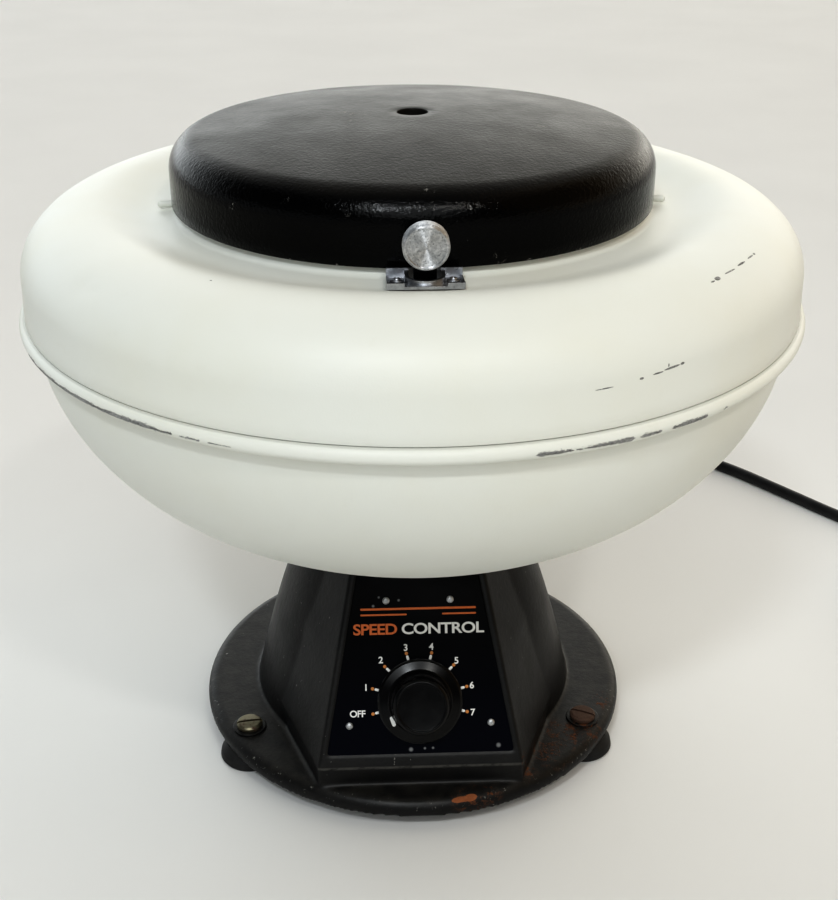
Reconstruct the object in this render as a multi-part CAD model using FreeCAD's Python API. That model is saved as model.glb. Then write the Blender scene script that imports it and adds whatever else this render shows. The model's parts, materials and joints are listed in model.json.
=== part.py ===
"""Bench-top laboratory centrifuge.

Frame: millimetres, +Z up, origin on the table under the rotor axis, -Y towards the operator.
Each sub-part is written as its own STEP file, named after its node.
"""

import math
import os

import FreeCAD
import Part

# Driving dimensions of the outside
RIM_R = 184.0
RIM_BEAD_R = 3.5
RIM_Z = 240.0
SHEET = 2.0
LID_R = 111.4
LID_SHEET = 1.6
LID_BOTTOM_Z = 287.5
LID_WALL_TOP_Z = 303.0
LID_CORNER_R = 15.3
LID_CORNER_END = 82.0
LID_TOP_Z = 325.0
SIGHT_HOLE_R = 7.05
NECK_R = 107.5
NECK_TOP_Z = 297.0
NECK_FILLET_R = 5.0
VALLEY_Z = 283.2
VALLEY_R = 120.0
CROWN_R = 147.0
CROWN_Z = 289.0
SHELL_WALL_R = 180.5
SHELL_FOOT_R = 181.2
SHELL_FOOT_Z = 243.7
SHOULDER_Z = 262.0
BOWL_SEAT_R = 51.0
BOWL_SEAT_Z = 125.6
BOWL_R = 177.1
BOWL_DEPTH = 114.3
BOWL_TOP_Z = 236.0
BOWL_POWER_R = 2.2
BOWL_POWER_Z = 1.916
BOWL_CURVE_POINTS = 15

# Base casting
FLANGE_R = 113.6
FLANGE_BOTTOM_Z = 10.0
FLANGE_TOP_Z = 18.0
FLANGE_EDGE_R = 5.5
PEDESTAL_FOOT_R = 85.5
PEDESTAL_WAIST_R = 75.5
PEDESTAL_WAIST_Z = 58.0
PEDESTAL_TOP_R = 51.5
CASTING_WALL = 6.0
DECK_THICKNESS = 6.0
DECK_HOLE_R = 30.0
PANEL_SLOPE = 26.3
PANEL_FOOT_Y = -98.5
PANEL_FOOT_Z = 28.0
PANEL_HALF_WIDTH_FOOT = 50.3
PANEL_TAPER = 0.1826
PANEL_BORDER = 3.22
PLATE_THICKNESS = 1.0
PLATE_BOTTOM = -26.0
PLATE_TOP = 66.0
DIAL_Y = -83.9
DIAL_Z = 57.4
PANEL_SCREWS = [(-15.7, 49.1), (15.7, 49.1), (-34.7, -11.7), (34.7, -11.7)]
PANEL_SCREW_R = 1.2
PANEL_SCREW_HEAD_R = 2.2
PANEL_SCREW_DEPTH = 5.0
COVER_R = 84.0
COVER_THICKNESS = 1.2
COVER_INSET = 3.0
VENT_R = 3.0
VENT_ROWS = [26.0, 40.0, 54.0]

# Speed control, in heights above the panel
KNOB_SHAFT_R = 3.2
KNOB_SHAFT_LOW = -24.0
KNOB_SHAFT_HIGH = 13.0
KNOB_SKIRT_R = 21.0
KNOB_DRUM_R = 14.4
KNOB_CAP_R = 12.4
KNOB_HEIGHT = 18.4
KNOB_FLUTE_R = 0.7
SHAFT_BUSH_R = 4.8
RHEOSTAT_R = 27.0
RHEOSTAT_LOW = -27.0
RHEOSTAT_FLOOR = -23.0
RHEOSTAT_RIM = -9.0
WINDING_OUTER_R = 22.1
WINDING_INNER_R = 19.8
WIPER_LOW = -18.5
WIPER_THICKNESS = 2.0

# Feet and their screws
FOOT_PITCH_R = 101.0
FOOT_ANGLES = {"front_left": -60.0, "front_right": 60.0, "rear": 180.0}
FOOT_R = 16.0
FOOT_TOP_R = 12.5
FOOT_RECESS = 3.0
FOOT_SCREW_R = 3.0
FOOT_SCREW_HEAD_R = 7.3
FOOT_SCREW_HEAD_H = 3.6
FOOT_SCREW_CHAMFER = 1.2
FOOT_SCREW_SLOTS = {"front_left": 8.0, "front_right": 155.0, "rear": 60.0}
SLOT_HALF_WIDTH = 0.8
SLOT_DEPTH = 1.6

# Motor
MOTOR_R = 42.0
MOTOR_WALL = 2.0
CASING_LOW_Z = 50.0
CASING_HIGH_Z = 104.0
BELL_TOP_Z = 112.0
SNOUT_R = 19.5
BEARING_R = 12.9
BEARING_WIDTH = 9.0
RACE_THICKNESS = 2.2
UPPER_BEARING_Z = 176.0
LOWER_BEARING_Z = 36.0
STATOR_LOW_Z = 64.0
STATOR_HIGH_Z = 96.0
STATOR_BORE_R = 22.7
COIL_HEIGHT = 6.5
BRUSH_LOW_Z = 50.5
BRUSH_HIGH_Z = 58.5
BRUSH_OUT_R = 44.0
ARMATURE_R = 22.0
ARMATURE_LOW_Z = 66.0
ARMATURE_HIGH_Z = 94.0
COMMUTATOR_R = 12.0
COMMUTATOR_LOW_Z = 48.5
COMMUTATOR_HIGH_Z = 60.6
FAN_R = 36.0
FAN_LOW_Z = 20.0
FAN_HIGH_Z = 31.0
SHAFT_R = 5.0
SHAFT_LOW_Z = 20.0
SHAFT_HIGH_Z = 246.0
MOUNT_RING_HEIGHT = 3.0
ISOLATOR_R = 6.5
ISOLATOR_WAIST_R = 5.6
ISOLATOR_PITCH_R = 38.0

# Rotor and cups
ROTOR_Z = 235.0
CUP_COUNT = 4
TRUNNION_PITCH = 60.0
RING_R = 21.5
RING_BORE_R = 17.7
RING_HEIGHT = 9.0
CUP_R = 17.5
CUP_WALL = 1.2
CUP_LENGTH = 95.0
CUP_LIP_R = 19.8
TRUNNION_PIN_R = 2.5
PIN_RUNNING_GAP = 0.05
PIN_INNER_X = 19.4
PIN_OUTER_X = 32.0
NOTCH_HALF = 24.0
NOTCH_DEPTH_R = 36.0
HEAD_HALF = 66.0
HEAD_CORNER_R = 86.0
HEAD_LOW_Z = 230.0
HEAD_HIGH_Z = 240.0
HUB_R = 16.0
HUB_LOW_Z = 224.0
HUB_HIGH_Z = 243.0
NUT_R = 12.0
NUT_HEIGHT = 8.0
CUP_BOTTOM_R = 9.0
CUP_LIP_HEIGHT = 2.0

# Lid hinge and latch
HINGE_Y = 121.0
HINGE_Z = 291.0
HINGE_PIN_R = 1.6
HINGE_BARREL_R = 3.4
LATCH_Z = 302.0
LATCH_KNOB_R = 9.1
LATCH_KNOB_FACE = 131.0
LATCH_KNOB_BACK = 124.4
LATCH_PIN_R = 2.5
TONGUE_Y = -121.4
KEEPER_HALF_WIDTH = 15.0
KEEPER_FRONT = -130.5
KEEPER_BACK = -113.4
KEEPER_GAUGE = 1.2
KEEPER_EDGE = 0.8
KEEPER_LOOP_R = 7.9
KEEPER_LOOP_Y = -121.0
KEEPER_LOOP_LOW = 285.2
KEEPER_LOOP_TOP = 288.4
KEEPER_RIVETS = [(-11.0, -121.5), (11.0, -121.5)]
HINGE_RIVETS = [(-13.0, 130.0), (13.0, 130.0)]
LID_RIVETS = [(-13.0, 298.0), (13.0, 298.0)]
HINGE_HALF_WIDTH = 18.0
HINGE_KNUCKLE = 8.0
HINGE_GAUGE = 1.6
RIVET_R = 1.5
RIVET_HEAD_R = 2.8
REST_PIN_R = 1.6
REST_PIN_Z = LID_BOTTOM_Z - REST_PIN_R - 0.3
REST_PIN_AZIMUTH = 86.0

# Bowl fixings
BOWL_SCREW_R = 2.0
BOWL_SCREW_HEAD_R = 4.0
BOWL_SCREW_DEPTH = 4.5
BOWL_SCREW_PITCH_R = 44.0
BOWL_HOLE_R = 24.0
BOOT_TOP_Z = 191.0

# Mains cord and plug
RELIEF_Z = 34.0
RELIEF_HOLE_R = 7.0
RELIEF_FLANGE_R = 9.0
RELIEF_END_Y = 122.0
PLUG_HALF_WIDTH = 12.5
PLUG_HALF_HEIGHT = 11.6
PLUG_SHELL_R = 26.0
PLUG_FACE = 40.0
BLADE_PITCH = 6.35
CORD_R = 3.9
CORD_FLOOR_Z = 4.0
COIL_X = 338.0
COIL_Y = 80.0
COIL_MID_R = 42.0
COIL_LAYERS = 2
CORD_PITCH = 8.2
CORD_ROUTE = [
    (0.0, 122.0, 34.0),
    (0.0, 150.0, 34.0),
    (1.0, 181.0, 18.0),
    (6.0, 214.0, 4.0),
    (22.0, 249.0, 4.0),
    (52.0, 282.0, 4.0),
    (98.0, 307.0, 4.0),
    (150.0, 312.0, 4.0),
    (200.0, 297.0, 4.0),
    (243.0, 262.5, 4.0),
    (276.0, 219.5, 4.0),
    (306.0, 179.0, 4.0),
    (339.0, 143.5, 4.0),
    (371.4, 111.8, 4.0),
]
TAIL_ROUTE = [
    (384.1, 80.0, 12.2),
    (384.1, 57.0, 10.8),
    (381.0, 33.0, 12.0),
    (376.0, 10.0, 12.0),
]


def vec(x=0.0, y=0.0, z=0.0):
    return FreeCAD.Vector(x, y, z)


UP = vec(0, 0, 1)
PANEL_TILT = FreeCAD.Rotation(vec(1, 0, 0), 90.0 - PANEL_SLOPE)
PANEL_PLACE = FreeCAD.Placement(vec(0, DIAL_Y, DIAL_Z), PANEL_TILT)


# Shape helpers


def rod(radius, z0, z1, x=0.0, y=0.0):
    return Part.makeCylinder(radius, z1 - z0, vec(x, y, z0))


def tube(outer, inner, z0, z1, x=0.0, y=0.0):
    return rod(outer, z0, z1, x, y).cut(rod(inner, z0, z1, x, y))


def rod_y(radius, y0, y1, x, z):
    return Part.makeCylinder(radius, y1 - y0, vec(x, y0, z), vec(0, 1, 0))


def rod_x(radius, x0, x1, y, z):
    return Part.makeCylinder(radius, x1 - x0, vec(x0, y, z), vec(1, 0, 0))


def block(x0, x1, y0, y1, z0, z1):
    return Part.makeBox(x1 - x0, y1 - y0, z1 - z0, vec(x0, y0, z0))


def lathe(outline):
    """Solid of revolution about Z from a closed outline of (radius, height) points."""
    points = [vec(r, 0, z) for r, z in outline]
    face = Part.Face(Part.makePolygon(points + points[:1]))
    return face.revolve(vec(), UP, 360)


def lathe_edges(edges):
    """Solid of revolution about Z from edges that close into one outline in the XZ plane."""
    wire = Part.Wire(Part.__sortEdges__(edges))
    return Part.Face(wire).revolve(vec(), UP, 360)


def line(a, b):
    return Part.LineSegment(vec(a[0], 0, a[1]), vec(b[0], 0, b[1])).toShape()


def arc(a, middle, b):
    return Part.Arc(vec(a[0], 0, a[1]), vec(middle[0], 0, middle[1]), vec(b[0], 0, b[1])).toShape()


def curve(points):
    spline = Part.BSplineCurve()
    spline.interpolate([vec(r, 0, z) for r, z in points])
    return spline.toShape()


def offset(points, distance):
    """Points moved sideways by distance, to the left of the way they run."""
    moved = []
    for i, (r, z) in enumerate(points):
        before = points[max(i - 1, 0)]
        after = points[min(i + 1, len(points) - 1)]
        run = (after[0] - before[0], after[1] - before[1])
        length = math.hypot(*run)
        moved.append((r - run[1] / length * distance, z + run[0] / length * distance))
    return moved


def on_circle(radius, degrees, middle_r, middle_z):
    angle = math.radians(degrees)
    return (middle_r + radius * math.cos(angle), middle_z + radius * math.sin(angle))


def at_azimuth(radius, degrees):
    """Point at a radius and an angle measured from the front (-Y) towards +X."""
    angle = math.radians(degrees)
    return radius * math.sin(angle), -radius * math.cos(angle)


def turned(shape, degrees):
    copy = shape.copy()
    copy.rotate(vec(), UP, degrees)
    return copy


def fused(shapes):
    whole = shapes[0]
    if len(shapes) > 1:
        whole = whole.multiFuse(shapes[1:])
    return whole.removeSplitter()


def group(shapes):
    return Part.makeCompound(shapes)


def on_panel(shape):
    """Places a shape built about the local Z axis so that Z leaves the panel through the dial."""
    copy = shape.copy()
    copy.Placement = PANEL_PLACE.multiply(copy.Placement)
    return copy


def export(node, shape):
    shape.exportStep("parts/" + node + ".step")


# Base casting


def panel_y(z):
    return PANEL_FOOT_Y + (z - PANEL_FOOT_Z) * math.tan(math.radians(PANEL_SLOPE))


def panel_half_width(z):
    along = (z - PANEL_FOOT_Z) / math.cos(math.radians(PANEL_SLOPE))
    return PANEL_HALF_WIDTH_FOOT - along * PANEL_TAPER


def pedestal_radius(z):
    """Radius of the pedestal's slightly convex cone."""
    foot_to_waist = (PEDESTAL_WAIST_R - PEDESTAL_FOOT_R) / (PEDESTAL_WAIST_Z - FLANGE_TOP_Z)
    waist_to_top = (PEDESTAL_TOP_R - PEDESTAL_WAIST_R) / (BOWL_SEAT_Z - PEDESTAL_WAIST_Z)
    bend = (waist_to_top - foot_to_waist) / (BOWL_SEAT_Z - FLANGE_TOP_Z)
    rise = z - FLANGE_TOP_Z
    return PEDESTAL_FOOT_R + foot_to_waist * rise + bend * rise * (z - PEDESTAL_WAIST_Z)


def pedestal_cone(inset, z0, z1):
    a = (pedestal_radius(z0) - inset, z0)
    b = (pedestal_radius(z1) - inset, z1)
    middle_z = (z0 + z1) / 2
    middle = (pedestal_radius(middle_z) - inset, middle_z)
    return lathe_edges([arc(a, middle, b), line(b, (0, z1)), line((0, z1), (0, z0)), line((0, z0), a)])


def boss_section(z, shape_z, inset):
    """Outline of the panel boss at height z: a front edge and two sides that run into the cone."""
    front = panel_y(shape_z) + inset
    half = panel_half_width(shape_z) - inset
    radius = pedestal_radius(shape_z) - inset
    reach = math.hypot(half, front)
    corner_angle = math.degrees(math.atan2(half, -front))
    tangent_angle = corner_angle + math.degrees(math.acos(min(radius / reach, 1.0))) + 4.0
    side_x, side_y = at_azimuth(radius * 0.985, tangent_angle)
    corners = [(-half, front), (half, front), (side_x, side_y), (-side_x, side_y)]
    return Part.makePolygon([vec(x, y, z) for x, y in corners + corners[:1]])


def boss(inset, z0, z1):
    """Panel boss: upright below the panel's foot, then leaning back with the panel."""
    kink = PANEL_FOOT_Z - inset * 0.35
    foot_wires = [boss_section(z, PANEL_FOOT_Z, inset) for z in (z0, kink)]
    lower = Part.makeLoft(foot_wires, True, True)
    middle = (kink + z1) / 2
    heights = [kink, middle, z1]
    wires = [boss_section(kink, PANEL_FOOT_Z, inset)] + [boss_section(z, z, inset) for z in heights[1:]]
    return [lower, Part.makeLoft(wires, True, True)]


def plate_outline(grow=0.0, depth0=0.0, depth1=1.0):
    """Trapezoidal slab in panel coordinates, as large as the control panel plate plus grow."""
    def half(v):
        foot = -(DIAL_Z - PANEL_FOOT_Z) / math.cos(math.radians(PANEL_SLOPE))
        return PANEL_HALF_WIDTH_FOOT - (v - foot) * PANEL_TAPER - PANEL_BORDER
    low = PLATE_BOTTOM - grow
    high = PLATE_TOP + grow
    corners = [
        (-half(low) - grow, low),
        (half(low) + grow, low),
        (half(high) + grow, high),
        (-half(high) - grow, high),
    ]
    wire = Part.makePolygon([vec(x, y, depth0) for x, y in corners + corners[:1]])
    return Part.Face(wire).extrude(vec(0, 0, depth1 - depth0))


def flange():
    edge = FLANGE_EDGE_R
    corner = on_circle(edge, 45, FLANGE_R - edge, FLANGE_TOP_Z - edge)
    return lathe_edges([
        line((0, FLANGE_BOTTOM_Z), (FLANGE_R, FLANGE_BOTTOM_Z)),
        line((FLANGE_R, FLANGE_BOTTOM_Z), (FLANGE_R, FLANGE_TOP_Z - edge)),
        arc((FLANGE_R, FLANGE_TOP_Z - edge), corner, (FLANGE_R - edge, FLANGE_TOP_Z)),
        line((FLANGE_R - edge, FLANGE_TOP_Z), (0, FLANGE_TOP_Z)),
        line((0, FLANGE_TOP_Z), (0, FLANGE_BOTTOM_Z)),
    ])


def base_casting():
    top = BOWL_SEAT_Z
    outside = [flange(), pedestal_cone(0.0, FLANGE_TOP_Z, top)] + boss(0.0, FLANGE_TOP_Z - 1.0, top)
    cavity_top = top - DECK_THICKNESS
    low = FLANGE_BOTTOM_Z
    cavity = [pedestal_cone(CASTING_WALL, low, cavity_top)] + boss(CASTING_WALL, low, cavity_top)
    body = fused(outside).cut(fused(cavity))
    body = body.cut(rod(DECK_HOLE_R, cavity_top - 1, top + 1))
    body = body.cut(cover_blank(0.2, low - 1.0))
    body = body.cut(rod_y(RELIEF_HOLE_R, 60, 110, 0, RELIEF_Z))
    body = body.cut(on_panel(plate_outline(0.15, -PLATE_THICKNESS, 5.0)))
    body = body.cut(on_panel(rod(SHAFT_BUSH_R + 0.1, -20, 5)))
    for angle in FOOT_ANGLES.values():
        x, y = at_azimuth(FOOT_PITCH_R, angle)
        body = body.cut(rod(FOOT_SCREW_R, low - 1, FLANGE_TOP_Z + 1, x, y))
    for x, y in bowl_screw_places():
        body = body.cut(rod(BOWL_SCREW_R, top - BOWL_SCREW_DEPTH, top + 1, x, y))
    for x, v in PANEL_SCREWS:
        body = body.cut(on_panel(rod(PANEL_SCREW_R, -PANEL_SCREW_DEPTH, 2, x, v)))
    return body


def cover_blank(grow, low):
    """The cover's outline, a disc with the boss's front, grown sideways and extruded up from low."""
    top = FLANGE_BOTTOM_Z + COVER_THICKNESS
    wire = boss_section(low, PANEL_FOOT_Z, COVER_INSET - grow)
    front = Part.Face(wire).extrude(vec(0, 0, top - low))
    return fused([rod(COVER_R + grow, low, top), front])


def bottom_cover():
    cover = cover_blank(0.0, FLANGE_BOTTOM_Z)
    vents = []
    for radius in VENT_ROWS:
        for angle in range(0, 360, 30):
            x, y = at_azimuth(radius, angle)
            vents.append(rod(VENT_R, FLANGE_BOTTOM_Z - 1, FLANGE_BOTTOM_Z + 3, x, y))
    return cover.cut(group(vents))


# Feet


def foot(angle):
    x, y = at_azimuth(FOOT_PITCH_R, angle)
    body = lathe([
        (FOOT_SCREW_R, FOOT_RECESS),
        (FOOT_SCREW_R + 4.0, FOOT_RECESS),
        (FOOT_SCREW_R + 4.0, 0.0),
        (FOOT_R - 1.5, 0.0),
        (FOOT_R, 2.0),
        (FOOT_R - 0.6, 5.0),
        (FOOT_TOP_R, FLANGE_BOTTOM_Z),
        (FOOT_SCREW_R, FLANGE_BOTTOM_Z),
    ])
    body.translate(vec(x, y, 0))
    return body


def slotted_screw(x, y, slot_angle):
    head_top = FLANGE_TOP_Z + FOOT_SCREW_HEAD_H
    screw = lathe([
        (0, FOOT_RECESS),
        (FOOT_SCREW_R, FOOT_RECESS),
        (FOOT_SCREW_R, FLANGE_TOP_Z),
        (FOOT_SCREW_HEAD_R, FLANGE_TOP_Z),
        (FOOT_SCREW_HEAD_R, head_top - FOOT_SCREW_CHAMFER),
        (FOOT_SCREW_HEAD_R - FOOT_SCREW_CHAMFER, head_top),
        (0, head_top),
    ])
    slot = block(-10, 10, -SLOT_HALF_WIDTH, SLOT_HALF_WIDTH, head_top - SLOT_DEPTH, head_top + 1)
    screw = screw.cut(turned(slot, slot_angle))
    screw.translate(vec(x, y, 0))
    return screw


def foot_screws():
    screws = []
    for name, angle in FOOT_ANGLES.items():
        x, y = at_azimuth(FOOT_PITCH_R, angle)
        screws.append(slotted_screw(x, y, FOOT_SCREW_SLOTS[name]))
    return group(screws)


# Control panel and speed control


def control_panel_plate():
    plate = plate_outline(0.0, -PLATE_THICKNESS, 0.0)
    plate = plate.cut(rod(SHAFT_BUSH_R + 0.1, -2, 1))
    for x, v in PANEL_SCREWS:
        plate = plate.cut(rod(PANEL_SCREW_R, -2, 1, x, v))
    return on_panel(plate)


def panel_screws():
    screws = []
    for x, v in PANEL_SCREWS:
        dome = Part.makeSphere(PANEL_SCREW_HEAD_R * 1.25, vec(x, v, -PANEL_SCREW_HEAD_R * 0.75))
        head = dome.common(rod(PANEL_SCREW_HEAD_R, 0, 3, x, v))
        shank = rod(PANEL_SCREW_R, -PANEL_SCREW_DEPTH, 0.2, x, v)
        screws.append(on_panel(fused([head, shank])))
    return group(screws)


def speed_knob():
    """Skirted control knob: the skirt carries the pointer mark, the grip is a slightly conical drum."""
    cap = KNOB_HEIGHT - 0.6
    knob = lathe([
        (KNOB_SHAFT_R, 1.0),
        (KNOB_SKIRT_R - 0.6, 1.0),
        (KNOB_SKIRT_R, 1.6),
        (KNOB_SKIRT_R, 3.2),
        (KNOB_SKIRT_R - 2.4, 4.6),
        (KNOB_DRUM_R + 1.0, 5.2),
        (KNOB_DRUM_R, 6.2),
        (KNOB_DRUM_R - 0.8, KNOB_HEIGHT - 1.4),
        (KNOB_CAP_R, KNOB_HEIGHT),
        (KNOB_CAP_R - 1.2, KNOB_HEIGHT),
        (KNOB_CAP_R - 1.8, cap),
        (0.0, cap),
        (0.0, KNOB_SHAFT_HIGH),
        (KNOB_SHAFT_R, KNOB_SHAFT_HIGH),
    ])
    flutes = []
    for angle in range(0, 360, 15):
        x, y = at_azimuth(KNOB_DRUM_R + KNOB_FLUTE_R / 2, angle)
        flutes.append(rod(KNOB_FLUTE_R, 6.6, KNOB_HEIGHT - 2.0, x, y))
    return on_panel(knob.cut(group(flutes)))


def knob_shaft():
    return on_panel(rod(KNOB_SHAFT_R, KNOB_SHAFT_LOW, KNOB_SHAFT_HIGH))


def rheostat_body():
    """Ceramic cup with a bridge and the bush that holds it to the panel."""
    wall = WINDING_OUTER_R + 0.1
    hub = KNOB_SHAFT_R + 2.8
    cup = lathe([
        (hub, RHEOSTAT_LOW),
        (RHEOSTAT_R, RHEOSTAT_LOW),
        (RHEOSTAT_R, RHEOSTAT_RIM),
        (wall, RHEOSTAT_RIM),
        (wall, RHEOSTAT_FLOOR),
        (hub, RHEOSTAT_FLOOR),
    ])
    bridge = block(-RHEOSTAT_R, RHEOSTAT_R, -5.0, 5.0, RHEOSTAT_RIM, RHEOSTAT_RIM + 2.0)
    bush = rod(SHAFT_BUSH_R, RHEOSTAT_RIM - 1.5, 0.6)
    body = fused([cup, bridge, bush])
    return on_panel(body.cut(rod(KNOB_SHAFT_R + PIN_RUNNING_GAP, -30, 2)))


def rheostat_winding():
    """Resistance wire round three quarters of the cup."""
    ring = tube(WINDING_OUTER_R, WINDING_INNER_R, RHEOSTAT_FLOOR + 0.4, RHEOSTAT_RIM - 1.5)
    gap = block(-9.0, 9.0, -30.0, 0.0, -30.0, 0.0)
    return on_panel(ring.cut(gap))


def rheostat_wiper():
    """Hub on the shaft with an arm that reaches the winding."""
    hub = tube(KNOB_SHAFT_R + 3.3, KNOB_SHAFT_R, RHEOSTAT_FLOOR + 1.0, -13.0)
    arm = block(-2.5, 2.5, 4.5, WINDING_INNER_R - 0.5, WIPER_LOW, WIPER_LOW + WIPER_THICKNESS)
    whole = fused([hub, arm]).cut(rod(KNOB_SHAFT_R, -30, 0))
    whole.rotate(vec(), UP, 105.0)
    return on_panel(whole)


# Motor


def opposite(shape):
    """The shape and its copy on the other side of the shaft."""
    return [turned(shape, side) for side in (0.0, 180.0)]


def motor_casing():
    casing = tube(MOTOR_R, MOTOR_R - MOTOR_WALL, CASING_LOW_Z, CASING_HIGH_Z)
    slot = block(10.0, 60.0, -5.5, 5.5, CASING_LOW_Z - 1.0, BRUSH_HIGH_Z + 0.5)
    return casing.cut(group(opposite(slot)))


def lower_end_bell():
    """Dished end that holds the lower bearing in a cup."""
    rim = MOTOR_R - MOTOR_WALL - 1.0
    inside = LOWER_BEARING_Z + BEARING_WIDTH + 0.5
    return lathe([
        (SHAFT_R + 2, LOWER_BEARING_Z - 2.0),
        (BEARING_R + 5.1, LOWER_BEARING_Z - 2.0),
        (MOTOR_R, LOWER_BEARING_Z + 7.0),
        (MOTOR_R, CASING_LOW_Z),
        (rim, CASING_LOW_Z),
        (rim, inside),
        (BEARING_R, inside),
        (BEARING_R, LOWER_BEARING_Z),
        (SHAFT_R + 2, LOWER_BEARING_Z),
    ])


def upper_end_bell():
    """Flat end with a long snout that carries the upper bearing up into the bowl."""
    snout_top = UPPER_BEARING_Z + BEARING_WIDTH + 1
    return lathe([
        (9.0, BELL_TOP_Z),
        (9.0, UPPER_BEARING_Z),
        (BEARING_R, UPPER_BEARING_Z),
        (BEARING_R, snout_top),
        (SNOUT_R, snout_top),
        (SNOUT_R, BELL_TOP_Z + 6.0),
        (24.0, BELL_TOP_Z),
        (MOTOR_R, BELL_TOP_Z),
        (MOTOR_R, CASING_HIGH_Z),
        (MOTOR_R - 4, CASING_HIGH_Z),
        (MOTOR_R - 4, BELL_TOP_Z - 3.5),
        (12.0, BELL_TOP_Z - 3.5),
    ])


def ball_bearing(z):
    """Outer race, inner race and balls as one ring: the balls are a narrow web."""
    outer = tube(BEARING_R, BEARING_R - RACE_THICKNESS, z, z + BEARING_WIDTH)
    inner = tube(SHAFT_R + 2.0, SHAFT_R + PIN_RUNNING_GAP, z, z + BEARING_WIDTH)
    web = tube(BEARING_R - RACE_THICKNESS + 0.2, SHAFT_R + 1.8, z + 2.5, z + BEARING_WIDTH - 2.5)
    return fused([outer, inner, web])


def field_core():
    """Laminated stator stack with two pole faces close to the armature."""
    stack = tube(MOTOR_R - MOTOR_WALL, 32.0, STATOR_LOW_Z, STATOR_HIGH_Z)
    poles = tube(32.5, STATOR_BORE_R, STATOR_LOW_Z, STATOR_HIGH_Z)
    wedge = block(-17.0, 17.0, -40.0, 40.0, STATOR_LOW_Z - 1, STATOR_HIGH_Z + 1)
    return fused([stack, poles.common(wedge)])


def field_coils():
    """Coil ends above and below each pole."""
    wedge = block(-20.0, 20.0, -40.0, -5.0, 50.0, 110.0)
    coils = []
    for low in (STATOR_LOW_Z - COIL_HEIGHT, STATOR_HIGH_Z):
        pad = tube(37.0, STATOR_BORE_R + 1.8, low, low + COIL_HEIGHT)
        coils += opposite(pad.common(wedge))
    return group(coils)


def brush_holders():
    outside = block(15.0, BRUSH_OUT_R, -5.0, 5.0, BRUSH_LOW_Z, BRUSH_HIGH_Z)
    inside = block(10.0, BRUSH_OUT_R - 3.0, -3.2, 3.2, BRUSH_LOW_Z + 1.5, BRUSH_HIGH_Z - 1.5)
    return group(opposite(outside.cut(inside)))


def carbon_brushes():
    brush = block(10.0, 27.0, -3.0, 3.0, BRUSH_LOW_Z + 1.7, BRUSH_HIGH_Z - 1.7)
    return group(opposite(brush.cut(rod(COMMUTATOR_R + 0.3, 40.0, 70.0))))


def motor_shaft():
    return lathe([
        (0, SHAFT_LOW_Z),
        (SHAFT_R, SHAFT_LOW_Z),
        (SHAFT_R, SHAFT_HIGH_Z - 2.0),
        (SHAFT_R - 1.0, SHAFT_HIGH_Z),
        (0, SHAFT_HIGH_Z),
    ])


def armature_core():
    core = tube(ARMATURE_R, SHAFT_R, ARMATURE_LOW_Z, ARMATURE_HIGH_Z)
    slot = block(-1.2, 1.2, -ARMATURE_R - 3.0, -ARMATURE_R + 6.0, ARMATURE_LOW_Z - 1, ARMATURE_HIGH_Z + 1)
    return core.cut(group([turned(slot, angle) for angle in range(0, 360, 30)]))


def armature_windings():
    """Wound ends of the armature, below and above its core."""
    outer = ARMATURE_R - 2.5
    low = lathe([
        (SHAFT_R, COMMUTATOR_HIGH_Z),
        (14.0, COMMUTATOR_HIGH_Z),
        (outer, COMMUTATOR_HIGH_Z + 2.4),
        (outer, ARMATURE_LOW_Z),
        (SHAFT_R, ARMATURE_LOW_Z),
    ])
    high = lathe([
        (SHAFT_R, ARMATURE_HIGH_Z),
        (outer, ARMATURE_HIGH_Z),
        (outer, ARMATURE_HIGH_Z + 4.0),
        (14.0, ARMATURE_HIGH_Z + 7.0),
        (SHAFT_R, ARMATURE_HIGH_Z + 7.0),
    ])
    return group([low, high])


def commutator():
    drum = tube(COMMUTATOR_R, SHAFT_R, COMMUTATOR_LOW_Z, COMMUTATOR_HIGH_Z)
    cut = block(-0.3, 0.3, -COMMUTATOR_R - 1.0, -COMMUTATOR_R + 1.2, COMMUTATOR_LOW_Z - 1, BRUSH_HIGH_Z)
    return drum.cut(group([turned(cut, angle) for angle in range(0, 360, 15)]))


def cooling_fan():
    plate_low = FAN_HIGH_Z - 1.5
    hub = tube(COMMUTATOR_R, SHAFT_R, FAN_LOW_Z, FAN_HIGH_Z)
    disc = tube(FAN_R, 11.0, plate_low, FAN_HIGH_Z)
    blade = block(11.0, FAN_R - 1.0, -0.8, 0.8, FAN_LOW_Z + 0.5, plate_low + 0.1)
    return fused([hub, disc] + [turned(blade, angle) for angle in range(0, 360, 45)])


def motor_mount_ring():
    return tube(MOTOR_R + 3.0, 24.2, BELL_TOP_Z, BELL_TOP_Z + MOUNT_RING_HEIGHT)


def motor_isolators():
    """Waisted rubber pads between the mount ring and the casting's deck."""
    low = BELL_TOP_Z + MOUNT_RING_HEIGHT
    high = BOWL_SEAT_Z - DECK_THICKNESS
    outline = [
        (0, low),
        (ISOLATOR_R, low),
        (ISOLATOR_WAIST_R, (low + high) / 2),
        (ISOLATOR_R, high),
        (0, high),
    ]
    return group([lathe_at(outline, *at_azimuth(ISOLATOR_PITCH_R, angle)) for angle in (0.0, 120.0, 240.0)])


def lathe_at(outline, x, y):
    shape = lathe(outline)
    shape.translate(vec(x, y, 0))
    return shape


# Bowl and shell


def bowl_screw_places():
    return [at_azimuth(BOWL_SCREW_PITCH_R, angle) for angle in (45.0, 135.0, 225.0, 315.0)]


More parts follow.
